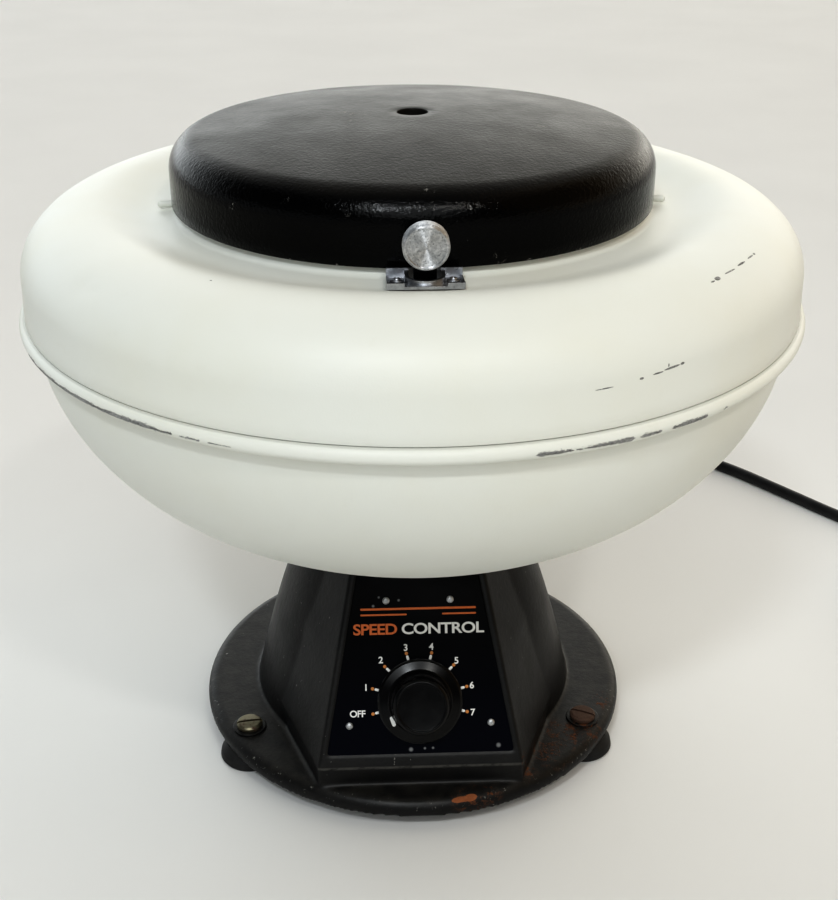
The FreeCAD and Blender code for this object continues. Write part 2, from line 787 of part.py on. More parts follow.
def bowl_points(inset):
    """The bowl's profile from its seat to its top edge, on a super-ellipse."""
    reach = BOWL_R - inset
    depth = BOWL_DEPTH - inset
    start_angle = math.acos(min((BOWL_SEAT_R / reach) ** (BOWL_POWER_R / 2.0), 1.0))
    points = []
    for i in range(BOWL_CURVE_POINTS):
        angle = start_angle * (1.0 - i / (BOWL_CURVE_POINTS - 1.0))
        radius = reach * math.cos(angle) ** (2.0 / BOWL_POWER_R)
        drop = depth * math.sin(angle) ** (2.0 / BOWL_POWER_Z)
        points.append((radius, BOWL_TOP_Z - drop))
    return points


def guard_bowl():
    outer = bowl_points(0.0)
    inner = bowl_points(SHEET)
    floor = BOWL_SEAT_Z + SHEET
    bead_r = RIM_R - RIM_BEAD_R
    edges = [
        line((BOWL_HOLE_R, BOWL_SEAT_Z), (outer[0][0] - 1.0, BOWL_SEAT_Z)),
        line((outer[0][0] - 1.0, BOWL_SEAT_Z), outer[0]),
        curve(outer),
        line(outer[-1], (BOWL_R, RIM_Z + 1.0)),
        line((BOWL_R, RIM_Z + 1.0), (BOWL_R - SHEET, RIM_Z + 1.0)),
        line((BOWL_R - SHEET, RIM_Z + 1.0), inner[-1]),
        curve(inner),
        line(inner[0], (inner[0][0] - 1.0, floor)),
        line((inner[0][0] - 1.0, floor), (BOWL_HOLE_R, floor)),
        line((BOWL_HOLE_R, floor), (BOWL_HOLE_R, BOWL_SEAT_Z)),
    ]
    shell = lathe_edges(edges)
    ledge = tube(bead_r, BOWL_R - SHEET, RIM_Z - 1.0, RIM_Z + 1.0)
    bead = Part.makeTorus(bead_r, RIM_BEAD_R)
    bead.translate(vec(0, 0, RIM_Z))
    bowl = fused([shell, ledge, bead])
    for x, y in bowl_screw_places():
        bowl = bowl.cut(rod(BOWL_SCREW_R, BOWL_SEAT_Z - 1, floor + 1, x, y))
    return bowl


def bowl_screws():
    floor = BOWL_SEAT_Z + SHEET
    low = BOWL_SEAT_Z - BOWL_SCREW_DEPTH
    outline = [
        (0, low),
        (BOWL_SCREW_R, low),
        (BOWL_SCREW_R, floor),
        (BOWL_SCREW_HEAD_R, floor),
        (BOWL_SCREW_HEAD_R - 0.6, floor + 2.0),
        (0, floor + 2.8),
    ]
    return group([lathe_at(outline, x, y) for x, y in bowl_screw_places()])


def bowl_boot():
    """Rubber cone that closes the bowl's floor round the motor's neck."""
    floor = BOWL_SEAT_Z + SHEET
    return lathe([
        (BOWL_HOLE_R, floor),
        (36.0, floor),
        (36.0, floor + 2.0),
        (33.0, floor + 2.5),
        (24.0, BOOT_TOP_Z - 4.0),
        (21.0, BOOT_TOP_Z),
        (SHAFT_R + 2.0, BOOT_TOP_Z),
        (SHAFT_R + 2.0, BOOT_TOP_Z - 2.5),
        (20.0, BOOT_TOP_Z - 2.5),
        (21.5, BOOT_TOP_Z - 5.0),
        (BOWL_HOLE_R + 1.0, floor + 2.5),
    ])


def shell_height(radius):
    """Height of the top shell's outside: an elliptical shoulder, a crown, then a shallow valley."""
    if radius >= CROWN_R:
        across = (radius - CROWN_R) / (SHELL_WALL_R - CROWN_R)
        return SHOULDER_Z + (CROWN_Z - SHOULDER_Z) * math.sqrt(max(1.0 - across * across, 0.0))
    if radius <= VALLEY_R:
        return VALLEY_Z
    fall = 0.5 - 0.5 * math.cos(math.pi * (CROWN_R - radius) / (CROWN_R - VALLEY_R))
    return CROWN_Z - (CROWN_Z - VALLEY_Z) * fall


def shell_points():
    shoulder = []
    for i in range(11):
        angle = math.radians(90.0 * i / 10.0)
        radius = CROWN_R + (SHELL_WALL_R - CROWN_R) * math.cos(angle)
        shoulder.append((radius, SHOULDER_Z + (CROWN_Z - SHOULDER_Z) * math.sin(angle)))
    steps = 9
    valley_end = NECK_R + NECK_FILLET_R
    span = CROWN_R - valley_end
    inward = [CROWN_R - span * (i + 1) / steps for i in range(steps)]
    return shoulder + [(radius, shell_height(radius)) for radius in inward]


def top_shell_body():
    outer = shell_points()
    inner = offset(outer, SHEET)
    inner[0] = (SHELL_WALL_R - SHEET, SHOULDER_Z)
    inner[-1] = (outer[-1][0], outer[-1][1] - SHEET)
    fillet_z = VALLEY_Z + NECK_FILLET_R
    fillet_r = NECK_R + NECK_FILLET_R
    lap_r = BOWL_R - SHEET - 0.3
    lap_z = RIM_Z - 7.0
    foot = (SHELL_FOOT_R, SHELL_FOOT_Z)
    edges = [
        line(foot, outer[0]),
        curve(outer),
        arc(outer[-1], on_circle(NECK_FILLET_R, 225, fillet_r, fillet_z), (NECK_R, fillet_z)),
        line((NECK_R, fillet_z), (NECK_R, NECK_TOP_Z)),
        line((NECK_R, NECK_TOP_Z), (NECK_R - SHEET, NECK_TOP_Z)),
        line((NECK_R - SHEET, NECK_TOP_Z), (NECK_R - SHEET, fillet_z)),
        arc((NECK_R - SHEET, fillet_z), on_circle(NECK_FILLET_R + SHEET, 225, fillet_r, fillet_z), inner[-1]),
        curve(inner),
        line(inner[0], (SHELL_FOOT_R - SHEET, SHELL_FOOT_Z + SHEET)),
        line((SHELL_FOOT_R - SHEET, SHELL_FOOT_Z + SHEET), (lap_r - SHEET, SHELL_FOOT_Z + SHEET)),
        line((lap_r - SHEET, SHELL_FOOT_Z + SHEET), (lap_r - SHEET, lap_z)),
        line((lap_r - SHEET, lap_z), (lap_r, lap_z)),
        line((lap_r, lap_z), (lap_r, SHELL_FOOT_Z)),
        line((lap_r, SHELL_FOOT_Z), foot),
    ]
    return lathe_edges(edges)


def rest_pin(side):
    pin = Part.makeCylinder(REST_PIN_R, 11.0, vec(0, -105.4, REST_PIN_Z), vec(0, -1, 0))
    tip = Part.makeSphere(REST_PIN_R, vec(0, -116.4, REST_PIN_Z))
    return turned(fused([pin, tip]), side * REST_PIN_AZIMUTH)


def lid_rest_pins():
    return group([rest_pin(side) for side in (-1.0, 1.0)])


def rivet_shank(x, y):
    return rod(RIVET_R, VALLEY_Z - SHEET - 1.5, CROWN_Z + 1.0, x, y)


def top_shell():
    shell = top_shell_body().cut(lid_rest_pins())
    for x, y in KEEPER_RIVETS + HINGE_RIVETS:
        shell = shell.cut(rivet_shank(x, y))
    return shell


def keeper_slope(y):
    """Height of the keeper plate's underside."""
    return 283.7 + (-113.5 - y) * 0.115


def plate_along_y(x0, x1, y0, y1, height, thickness):
    """Plate whose underside follows height(y) between y0 and y1."""
    low = [(y0, height(y0)), (y1, height(y1))]
    high = [(y, z + thickness) for y, z in reversed(low)]
    wire = Part.makePolygon([vec(x0, y, z) for y, z in low + high + low[:1]])
    return Part.Face(wire).extrude(vec(x1 - x0, 0, 0))


def d_shape(radius, back, low, high):
    """Half-round prism in front of the keeper loop's middle, square behind it."""
    round_front = rod(radius, low, high, 0, KEEPER_LOOP_Y)
    return round_front.fuse(block(-radius, radius, KEEPER_LOOP_Y, back, low, high))


def latch_keeper():
    """Pressed aluminium bracket: plate, riser under the lid's edge, turned-up edges and a D-shaped loop."""
    half = KEEPER_HALF_WIDTH
    gauge = KEEPER_GAUGE
    riser_front = KEEPER_BACK - gauge
    lip_low = keeper_slope(KEEPER_FRONT)
    plate = plate_along_y(-half, half, KEEPER_FRONT, KEEPER_BACK, keeper_slope, gauge)
    riser = block(-half, half, riser_front, KEEPER_BACK, keeper_slope(KEEPER_BACK), KEEPER_LOOP_TOP + 0.6)
    lips = []
    for x0, x1 in ((-half, -KEEPER_LOOP_R - 0.3), (KEEPER_LOOP_R + 0.3, half)):
        lips.append(block(x0, x1, KEEPER_FRONT, KEEPER_FRONT + gauge, lip_low, lip_low + 2.6))
    sides = []
    for x in (-half, half - KEEPER_EDGE):
        sides.append(plate_along_y(x, x + KEEPER_EDGE, KEEPER_FRONT, KEEPER_BACK, keeper_slope, 2.2))
    loop = d_shape(KEEPER_LOOP_R, riser_front, KEEPER_LOOP_LOW, KEEPER_LOOP_TOP)
    hollow = d_shape(KEEPER_LOOP_R - 1.4, riser_front - 0.1, 280.0, 292.0)
    body = fused([plate, riser] + lips + sides + [loop]).cut(hollow)
    for x, y in KEEPER_RIVETS:
        body = body.cut(rivet_shank(x, y))
    return body


def hinge_slope(y):
    """Height of the hinge leaf's underside."""
    return 283.9 + max(y - 114.0, 0.0) * 0.17


def domed_rivet(x, y, seat):
    head = Part.makeSphere(3.4, vec(x, y, seat - 2.0)).common(rod(RIVET_HEAD_R, seat, seat + 3, x, y))
    low = VALLEY_Z - SHEET - 0.4
    return fused([head, rod(RIVET_R, low, seat + 0.3, x, y)])


def shell_rivets():
    rivets = [domed_rivet(x, y, keeper_slope(y) + 1.5) for x, y in KEEPER_RIVETS]
    rivets += [domed_rivet(x, y, hinge_slope(y) + 2.0) for x, y in HINGE_RIVETS]
    return group(rivets)


def hinge_leaf_fixed():
    """Leaf riveted behind the neck, with one middle knuckle."""
    half = HINGE_HALF_WIDTH
    leaf = plate_along_y(-half, half, 116.5, 136.0, hinge_slope, HINGE_GAUGE)
    barrel = rod_x(HINGE_BARREL_R, -HINGE_KNUCKLE, HINGE_KNUCKLE, HINGE_Y, HINGE_Z)
    web = block(-HINGE_KNUCKLE, HINGE_KNUCKLE, HINGE_Y - 1.5, HINGE_Y + HINGE_BARREL_R,
                hinge_slope(HINGE_Y) + 0.4, HINGE_Z)
    body = fused([leaf, barrel, web]).cut(rod_x(HINGE_PIN_R, -20, 20, HINGE_Y, HINGE_Z))
    for x, y in HINGE_RIVETS:
        body = body.cut(rivet_shank(x, y))
    return body


def hinge_pin():
    half = HINGE_HALF_WIDTH + 1.5
    return rod_x(HINGE_PIN_R, -half, half, HINGE_Y, HINGE_Z)


# Lid


def lid_outline(inset):
    """Edges of the lid's profile from its bottom edge to the sight hole, moved inwards by inset."""
    corner_r = LID_R - LID_CORNER_R
    end_angle = LID_CORNER_END
    bottom = (LID_R - inset, LID_BOTTOM_Z)
    wall_top = (LID_R - inset, LID_WALL_TOP_Z)
    corner_mid = on_circle(LID_CORNER_R - inset, end_angle / 2, corner_r, LID_WALL_TOP_Z)
    corner_end = on_circle(LID_CORNER_R - inset, end_angle, corner_r, LID_WALL_TOP_Z)
    full_end = on_circle(LID_CORNER_R, end_angle, corner_r, LID_WALL_TOP_Z)
    rise = LID_TOP_Z - full_end[1]
    dome_r = (full_end[0] ** 2 + rise ** 2) / (2 * rise)

    def dome(radius):
        return LID_TOP_Z - dome_r + math.sqrt((dome_r - inset) ** 2 - radius ** 2)

    hole = (SIGHT_HOLE_R, dome(SIGHT_HOLE_R))
    middle_r = corner_end[0] / 2
    edges = [line(bottom, wall_top), arc(wall_top, corner_mid, corner_end),
             arc(corner_end, (middle_r, dome(middle_r)), hole)]
    return edges, bottom, hole


def lid():
    outer, outer_bottom, outer_hole = lid_outline(0.0)
    inner, inner_bottom, inner_hole = lid_outline(LID_SHEET)
    shell = lathe_edges(outer + inner + [line(outer_bottom, inner_bottom), line(outer_hole, inner_hole)])
    lip = tube(SIGHT_HOLE_R + 1.4, SIGHT_HOLE_R, LID_TOP_Z - LID_SHEET - 2.6, LID_TOP_Z - 1.0)
    body = fused([shell, lip])
    body = body.cut(rod_y(LATCH_PIN_R + PIN_RUNNING_GAP, -120, -100, 0, LATCH_Z))
    for x, z in LID_RIVETS:
        body = body.cut(rod_y(RIVET_R, 100, 120, x, z))
    return body


def hinge_leaf_lid():
    """Leaf riveted to the lid's wall, with two outer knuckles."""
    half = HINGE_HALF_WIDTH
    low = HINGE_Z + 0.5
    strap = tube(LID_R + HINGE_GAUGE, LID_R, low, 302.0).common(block(-half, half, 90.0, 120.0, 280.0, 310.0))
    parts = [strap]
    for x0, x1 in ((-half, -HINGE_KNUCKLE - 0.4), (HINGE_KNUCKLE + 0.4, half)):
        parts.append(rod_x(HINGE_BARREL_R, x0, x1, HINGE_Y, HINGE_Z))
        parts.append(block(x0, x1, LID_R + HINGE_GAUGE / 2, HINGE_Y, low, low + 2.7))
    body = fused(parts).cut(rod(LID_R, 280.0, 310.0))
    body = body.cut(rod_x(HINGE_PIN_R + PIN_RUNNING_GAP, -20, 20, HINGE_Y, HINGE_Z))
    for x, z in LID_RIVETS:
        body = body.cut(rod_y(RIVET_R, 100, 120, x, z))
    return body


def lid_rivets():
    rivets = []
    for x, z in LID_RIVETS:
        seat = math.sqrt((LID_R + HINGE_GAUGE) ** 2 - x * x) + 0.45
        dome = Part.makeSphere(3.4, vec(x, seat - 2.0, z))
        head = dome.common(rod_y(RIVET_HEAD_R, seat, seat + 3, x, z))
        rivets.append(fused([head, rod_y(RIVET_R, seat - 4.0, seat + 0.3, x, z)]))
    return group(rivets)


# Latch


def along_front(outline):
    """Solid of revolution about the latch axis: (radius, distance out from the lid's axis)."""
    shape = lathe(outline)
    shape.rotate(vec(), vec(1, 0, 0), 90)
    shape.translate(vec(0, 0, LATCH_Z))
    return shape


def latch_knob():
    """Turned knob with a collar behind and a shallow recess in its face."""
    rim = LATCH_KNOB_R
    face = LATCH_KNOB_FACE
    back = LATCH_KNOB_BACK
    return along_front([
        (LATCH_PIN_R, -TONGUE_Y),
        (LATCH_PIN_R + 2.0, -TONGUE_Y),
        (LATCH_PIN_R + 2.0, back),
        (rim - 0.8, back),
        (rim, back + 0.8),
        (rim, face - 1.1),
        (rim - 1.1, face),
        (rim - 1.7, face),
        (rim - 2.0, face - 0.35),
        (0, face - 0.35),
        (0, face - 3.0),
        (LATCH_PIN_R, face - 3.0),
    ])


def latch_pin():
    """Plunger through the lid's wall, with a collar inside."""
    collar_r = LATCH_PIN_R + 2.5
    tip = LATCH_KNOB_FACE - 3.0
    return along_front([
        (0, 96.0),
        (collar_r, 96.0),
        (collar_r, 98.0),
        (LATCH_PIN_R, 98.0),
        (LATCH_PIN_R, tip),
        (0, tip),
    ])


def latch_tongue():
    """Plate on the plunger that drops into the keeper's loop."""
    plate = block(-4.5, 4.5, TONGUE_Y, TONGUE_Y + 1.8, 285.6, LATCH_Z + 4.0)
    return plate.cut(rod_y(LATCH_PIN_R, -130, -110, 0, LATCH_Z))


# Rotor and cups


def rotor_head():
    """Cross-shaped head: hub, square web, four arms between the cups, and a tapered bore for the shaft."""
    web = block(-HEAD_HALF, HEAD_HALF, -HEAD_HALF, HEAD_HALF, HEAD_LOW_Z, HEAD_HIGH_Z)
    web = web.common(rod(HEAD_CORNER_R, HEAD_LOW_Z, HEAD_HIGH_Z))
    notch = block(-NOTCH_HALF, NOTCH_HALF, -100.0, -NOTCH_DEPTH_R, HEAD_LOW_Z - 1, HEAD_HIGH_Z + 1)
    lightening = rod(8.0, HEAD_LOW_Z - 1, HEAD_HIGH_Z + 1, 0.0, -56.0)
    for i in range(CUP_COUNT):
        web = web.cut(turned(notch, 90.0 * i))
        web = web.cut(turned(lightening, 45.0 + 90.0 * i))
    hub = rod(HUB_R, HUB_LOW_Z, HUB_HIGH_Z)
    return fused([web, hub]).cut(rod(SHAFT_R, 220.0, 250.0)).cut(trunnion_pins())


def trunnion_pin(side):
    ends = sorted([side * PIN_INNER_X, side * PIN_OUTER_X])
    return rod_x(TRUNNION_PIN_R, ends[0], ends[1], -TRUNNION_PITCH, ROTOR_Z)


def trunnion_pins():
    pins = []
    for i in range(CUP_COUNT):
        for side in (-1.0, 1.0):
            pins.append(turned(trunnion_pin(side), 90.0 * i))
    return group(pins)


def rotor_nut():
    """Hexagonal cap nut with a chamfered top."""
    points = [at_azimuth(NUT_R, 60.0 * i) for i in range(6)]
    wire = Part.makePolygon([vec(x, y, HUB_HIGH_Z) for x, y in points + points[:1]])
    nut = Part.Face(wire).extrude(vec(0, 0, NUT_HEIGHT))
    nut = nut.common(Part.makeCone(16.0, 9.0, NUT_HEIGHT + 1.0, vec(0, 0, HUB_HIGH_Z)))
    return nut.cut(rod(SHAFT_R, HUB_HIGH_Z - 3.0, SHAFT_HIGH_Z))


def trunnion_ring():
    """Ring that carries a shield and swings on two pins."""
    low = ROTOR_Z - RING_HEIGHT / 2
    high = ROTOR_Z + RING_HEIGHT / 2
    ring = tube(RING_R, RING_BORE_R, low, high, 0, -TRUNNION_PITCH)
    return ring.cut(rod_x(TRUNNION_PIN_R + PIN_RUNNING_GAP, -30, 30, -TRUNNION_PITCH, ROTOR_Z))


def cup_shield():
    """Round-bottomed metal shield with a lip that sits on the ring."""
    lip_low = ROTOR_Z + RING_HEIGHT / 2
    lip_top = lip_low + CUP_LIP_HEIGHT
    low = ROTOR_Z - CUP_LENGTH
    flat_r = CUP_R - CUP_BOTTOM_R
    bend_z = low + CUP_BOTTOM_R
    inner = CUP_R - CUP_WALL
    floor = low + CUP_WALL
    outer_mid = on_circle(CUP_BOTTOM_R, -45, flat_r, bend_z)
    inner_mid = on_circle(CUP_BOTTOM_R - CUP_WALL, -45, flat_r, bend_z)
    edges = [
        line((0, low), (flat_r, low)),
        arc((flat_r, low), outer_mid, (CUP_R, bend_z)),
        line((CUP_R, bend_z), (CUP_R, lip_low)),
        line((CUP_R, lip_low), (CUP_LIP_R, lip_low)),
        line((CUP_LIP_R, lip_low), (CUP_LIP_R, lip_top)),
        line((CUP_LIP_R, lip_top), (inner, lip_top)),
        line((inner, lip_top), (inner, bend_z)),
        arc((inner, bend_z), inner_mid, (flat_r, floor)),
        line((flat_r, floor), (0, floor)),
        line((0, floor), (0, low)),
    ]
    shield = lathe_edges(edges)
    shield.translate(vec(0, -TRUNNION_PITCH, 0))
    return shield


# Mains cord


def strain_relief():
    """Flanged, tapered grommet in the casting's rear wall."""
    sleeve_r = RELIEF_HOLE_R - 0.1
    relief = lathe([
        (0, 71.5),
        (RELIEF_HOLE_R + 1.6, 71.5),
        (RELIEF_HOLE_R + 1.6, 73.0),
        (sleeve_r, 73.0),
        (sleeve_r, 84.5),
        (RELIEF_FLANGE_R, 84.5),
        (RELIEF_FLANGE_R, 87.5),
        (6.6, 89.5),
        (5.0, RELIEF_END_Y),
        (0, RELIEF_END_Y),
    ])
    relief.rotate(vec(), vec(1, 0, 0), -90)
    relief.translate(vec(0, 0, RELIEF_Z))
    return relief


def cord_wire(route):
    """Straight runs joined by tangent arcs.

    Each arc's radius is 0.45 of the shorter run over the tangent of half the turn.
    """
    points = [vec(*p) for p in route]
    edges = []
    start = points[0]
    length = 0.0
    for i in range(1, len(points) - 1):
        before = points[i] - points[i - 1]
        after = points[i + 1] - points[i]
        short = min(before.Length, after.Length)
        half_turn = before.getAngle(after) / 2
        trim = 0.45 * short
        radius = trim / math.tan(half_turn)
        print("cord arc", i, "radius", round(radius, 1), "turn", round(math.degrees(2 * half_turn), 1))
        before.normalize()
        after.normalize()
        enter = points[i] - before * trim
        leave = points[i] + after * trim
        bisector = (after - before).normalize()
        middle = points[i] + bisector * (radius / math.cos(half_turn) - radius)
        edges.append(Part.LineSegment(start, enter).toShape())
        edges.append(Part.Arc(enter, middle, leave).toShape())
        length += (enter - start).Length + 2 * half_turn * radius
        start = leave
    edges.append(Part.LineSegment(start, points[-1]).toShape())
    length += (points[-1] - start).Length
    return Part.Wire(edges), length


def cord_tube(route):
    path, length = cord_wire(route)
    direction = vec(*route[1]) - vec(*route[0])
    section = Part.Wire(Part.makeCircle(CORD_R, vec(*route[0]), direction))
    sweep = path.makePipeShell([section], True, False)
    share = sweep.Volume / (math.pi * CORD_R ** 2 * length)
    print("cord length", round(length, 1), "volume over section times length", round(share, 4))
    return sweep


def mains_cord():
    return group([cord_tube(CORD_ROUTE), cord_tube(TAIL_ROUTE)])


def cord_coil():
    """Outer shape of the put-away turns, two abreast."""
    half = CORD_PITCH / 2 + CORD_R
    high = 2 * CORD_R + (COIL_LAYERS - 1) * CORD_PITCH
    edge = 2.5
    low = CORD_FLOOR_Z - CORD_R
    inner = COIL_MID_R - half
    outer = COIL_MID_R + half
    outline = [
        (inner + edge, low),
        (outer - edge, low),
        (outer, low + edge),
        (outer, high - edge),
        (outer - edge, high),
        (inner + edge, high),
        (inner, high - edge),
        (inner, low + edge),
    ]
    return lathe_at(outline, COIL_X, COIL_Y)


def at_plug(shape):
    """Places a shape built along Z so that Z runs on from the end of the cord's tail and Y points up."""
    end = vec(*TAIL_ROUTE[-1])
    along = end - vec(*TAIL_ROUTE[-2])
    turn = FreeCAD.Rotation(UP.cross(along), UP, along, "ZYX")
    copy = shape.copy()
    copy.Placement = FreeCAD.Placement(end, turn).multiply(copy.Placement)
    return copy


def plug_body():
    """Moulded three-pin plug: a tapered strain relief, a waist and a flat-faced head."""
    sleeve = lathe([(0, 0.0), (CORD_R, 0.0), (4.6, 2.0), (6.4, 18.0), (0, 18.0)])
    head = block(-PLUG_HALF_WIDTH, PLUG_HALF_WIDTH, -PLUG_HALF_HEIGHT, PLUG_HALF_HEIGHT, 14.0, PLUG_FACE)
    shell = Part.makeSphere(PLUG_SHELL_R, vec(0, 0, PLUG_FACE - 6.0)).common(head)
    return at_plug(fused([sleeve, shell]).cut(plug_blade_solids()))


def plug_blade_solids():
    """Two flat blades and a round earth pin, rooted in the plug's face."""
    root = PLUG_FACE - 4.0
    flats = [block(x - 0.8, x + 0.8, -1.0, 5.3, root, PLUG_FACE + 18.0) for x in (-BLADE_PITCH, BLADE_PITCH)]
    pin = rod(2.4, root, PLUG_FACE + 21.0, 0, -7.5)
    return group(flats + [pin])


def plug_blades():
    return at_plug(plug_blade_solids())


def build():
    os.makedirs("parts", exist_ok=True)
    export("base_casting", base_casting())
    export("bottom_cover", bottom_cover())
    for name, angle in FOOT_ANGLES.items():
        export("foot_" + name, foot(angle))
    export("foot_screws", foot_screws())
    export("control_panel_plate", control_panel_plate())
    export("panel_screws", panel_screws())
    export("speed_knob", speed_knob())
    export("knob_shaft", knob_shaft())
    export("rheostat_body", rheostat_body())
    export("rheostat_winding", rheostat_winding())
    export("rheostat_wiper", rheostat_wiper())
    export("motor_casing", motor_casing())
    export("lower_end_bell", lower_end_bell())
    export("upper_end_bell", upper_end_bell())
    export("lower_bearing", ball_bearing(LOWER_BEARING_Z))
    export("upper_bearing", ball_bearing(UPPER_BEARING_Z))
    export("field_core", field_core())
    export("field_coils", field_coils())
    export("brush_holders", brush_holders())
    export("carbon_brushes", carbon_brushes())
    export("motor_mount_ring", motor_mount_ring())
    export("motor_isolators", motor_isolators())
    export("motor_shaft", motor_shaft())
    export("armature_core", armature_core())
    export("armature_windings", armature_windings())
    export("commutator", commutator())
    export("cooling_fan", cooling_fan())
    export("guard_bowl", guard_bowl())
    export("bowl_screws", bowl_screws())
    export("bowl_boot", bowl_boot())
    export("top_shell", top_shell())
    export("lid_rest_pins", lid_rest_pins())
    export("latch_keeper", latch_keeper())
    export("shell_rivets", shell_rivets())
    export("hinge_leaf_fixed", hinge_leaf_fixed())
    export("hinge_pin", hinge_pin())
    export("lid", lid())
    export("hinge_leaf_lid", hinge_leaf_lid())
    export("lid_rivets", lid_rivets())
    export("latch_knob", latch_knob())
    export("latch_pin", latch_pin())
    export("latch_tongue", latch_tongue())
    export("rotor_head", rotor_head())
    export("trunnion_pins", trunnion_pins())
    export("rotor_nut", rotor_nut())
    for i in range(CUP_COUNT):
        export("trunnion_ring_" + str(i + 1), turned(trunnion_ring(), 90.0 * i))
        export("cup_shield_" + str(i + 1), turned(cup_shield(), 90.0 * i))
    export("cord_strain_relief", strain_relief())
    export("mains_cord", mains_cord())
    export("cord_coil", cord_coil())
    export("plug_body", plug_body())
    export("plug_blades", plug_blades())


build()
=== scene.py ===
"""The looks of the bench-top laboratory centrifuge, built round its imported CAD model.

Lengths of the object are written in millimetres, as in the part, and become metres when a mesh is made.
Angles called azimuth are in degrees, from the front (-Y) towards +X.
"""

import json
import math

import bmesh
import bpy
from mathutils import Matrix, Vector, noise


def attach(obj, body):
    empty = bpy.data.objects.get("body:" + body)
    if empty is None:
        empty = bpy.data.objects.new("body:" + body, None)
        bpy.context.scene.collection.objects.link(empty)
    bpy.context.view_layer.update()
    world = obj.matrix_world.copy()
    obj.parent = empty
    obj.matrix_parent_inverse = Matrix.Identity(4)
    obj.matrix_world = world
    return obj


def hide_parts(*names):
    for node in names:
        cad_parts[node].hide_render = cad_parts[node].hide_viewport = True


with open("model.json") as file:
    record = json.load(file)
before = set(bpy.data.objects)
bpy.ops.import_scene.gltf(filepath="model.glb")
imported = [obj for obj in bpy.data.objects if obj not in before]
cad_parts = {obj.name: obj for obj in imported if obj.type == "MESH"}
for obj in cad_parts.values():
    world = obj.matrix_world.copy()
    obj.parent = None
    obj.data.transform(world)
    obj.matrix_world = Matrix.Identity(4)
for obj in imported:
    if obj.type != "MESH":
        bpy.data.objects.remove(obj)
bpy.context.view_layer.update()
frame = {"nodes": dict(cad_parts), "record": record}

MM = 0.001

# The outside, as in the part
RIM_R = 184.0
RIM_BEAD_R = 3.5
RIM_Z = 240.0
SHEET = 2.0
LID_R = 111.4
LID_SHEET = 1.6
LID_BOTTOM_Z = 287.5
LID_WALL_TOP_Z = 303.0
LID_CORNER_R = 15.3
LID_CORNER_END = 82.0
LID_TOP_Z = 325.0
SIGHT_HOLE_R = 7.05
NECK_R = 107.5
NECK_TOP_Z = 297.0
NECK_FILLET_R = 5.0
VALLEY_Z = 283.2
VALLEY_R = 120.0
CROWN_R = 147.0
CROWN_Z = 289.0
SHELL_WALL_R = 180.5
SHELL_FOOT_R = 181.2
SHELL_FOOT_Z = 243.7
SHOULDER_Z = 262.0
BOWL_SEAT_R = 51.0
BOWL_SEAT_Z = 125.6
BOWL_R = 177.1
BOWL_DEPTH = 114.3
BOWL_TOP_Z = 236.0
BOWL_POWER_R = 2.2
BOWL_POWER_Z = 1.916
BOWL_HOLE_R = 24.0
PANEL_SLOPE = 26.3
DIAL_Y = -83.9
DIAL_Z = 57.4
LATCH_Z = 302.0
PANEL_FOOT_Z = 28.0
PANEL_HALF_WIDTH_FOOT = 50.3
PANEL_TAPER = 0.1826
PANEL_BORDER = 3.2
PLATE_THICKNESS = 1.0
PLATE_BOTTOM = -26.0
PLATE_TOP = 66.0
PRINT_LIFT = 0.03
TICK_R = 21.6
DOT_R = 23.9
DIAL_LABELS = {
    "OFF": (-30.6, -6.1),
    "1": (-26.3, 6.7),
    "2": (-18.8, 20.0),
    "3": (-6.5, 25.8),
    "4": (6.1, 26.0),
    "5": (18.3, 18.9),
    "6": (25.6, 6.6),
    "7": (25.8, -6.7),
}
PANEL_SCREWS = [(-15.7, 49.1), (15.7, 49.1), (-34.7, -11.7), (34.7, -11.7)]
RIVETS = [(-11.0, -121.5, 286.0, -0.115), (11.0, -121.5, 286.0, -0.115), (-13.0, 130.0, 288.3, 0.17), (13.0,
        130.0, 288.3, 0.17)]
FOOT_PITCH_R = 101.0
FOOT_SCREW_SLOTS = {"front_left": 8.0, "front_right": 155.0, "rear": 60.0}
FOOT_ANGLES = {"front_left": -60.0, "front_right": 60.0, "rear": 180.0}

# Camera, in metres and degrees
CAMERA_PLACE = (-0.0242, -0.6019, 0.453)
CAMERA_PITCH = 26.51
CAMERA_HEADING = 2.46
CAMERA_LENS = 52.32
CAMERA_SHIFT = 0.0034

# Surroundings: brightness along +Y, upward and near the horizon, then tint along +X; (from, to, low, high)
WORLD_BEHIND = (0.0, 0.95, 0.09, 1.88)
WORLD_UPWARD = (0.2, 0.75, 1.0, 0.30)
WORLD_HORIZON = (0.10, 0.26, 0.52, 0.0)
WORLD_TINT = (-0.7, 0.9, 0.0, 1.0)
COOL_TINT = (0.93, 0.98, 1.0, 1.0)
WARM_TINT = (1.0, 0.95, 0.84, 1.0)

# Suns: name, direction, spread in degrees, strength, colour. Windows: name, place, size, power, colour
SUNS = [
    ("daylight", (0.08, 1.0, -0.88), 44.0, 0.76, (0.96, 0.99, 1.0)),
    ("room_light", (-1.0, 0.10, -0.75), 70.0, 0.27, (1.0, 0.64, 0.26)),
    ("overhead", (0.0, -0.15, -1.0), 80.0, 0.35, (1.0, 0.998, 0.985)),
]
WINDOWS = [
    ("window_left", (-0.42, -1.35, 1.75), (0.26, 0.09), 7.0, (0.92, 0.97, 1.0)),
    ("window_right", (0.52, -1.30, 1.75), (0.16, 0.07), 4.0, (1.0, 0.98, 0.93)),
]
LIGHT_TARGET = (0.0, 0.0, 0.25)
FLOOR_HALF = 14.0

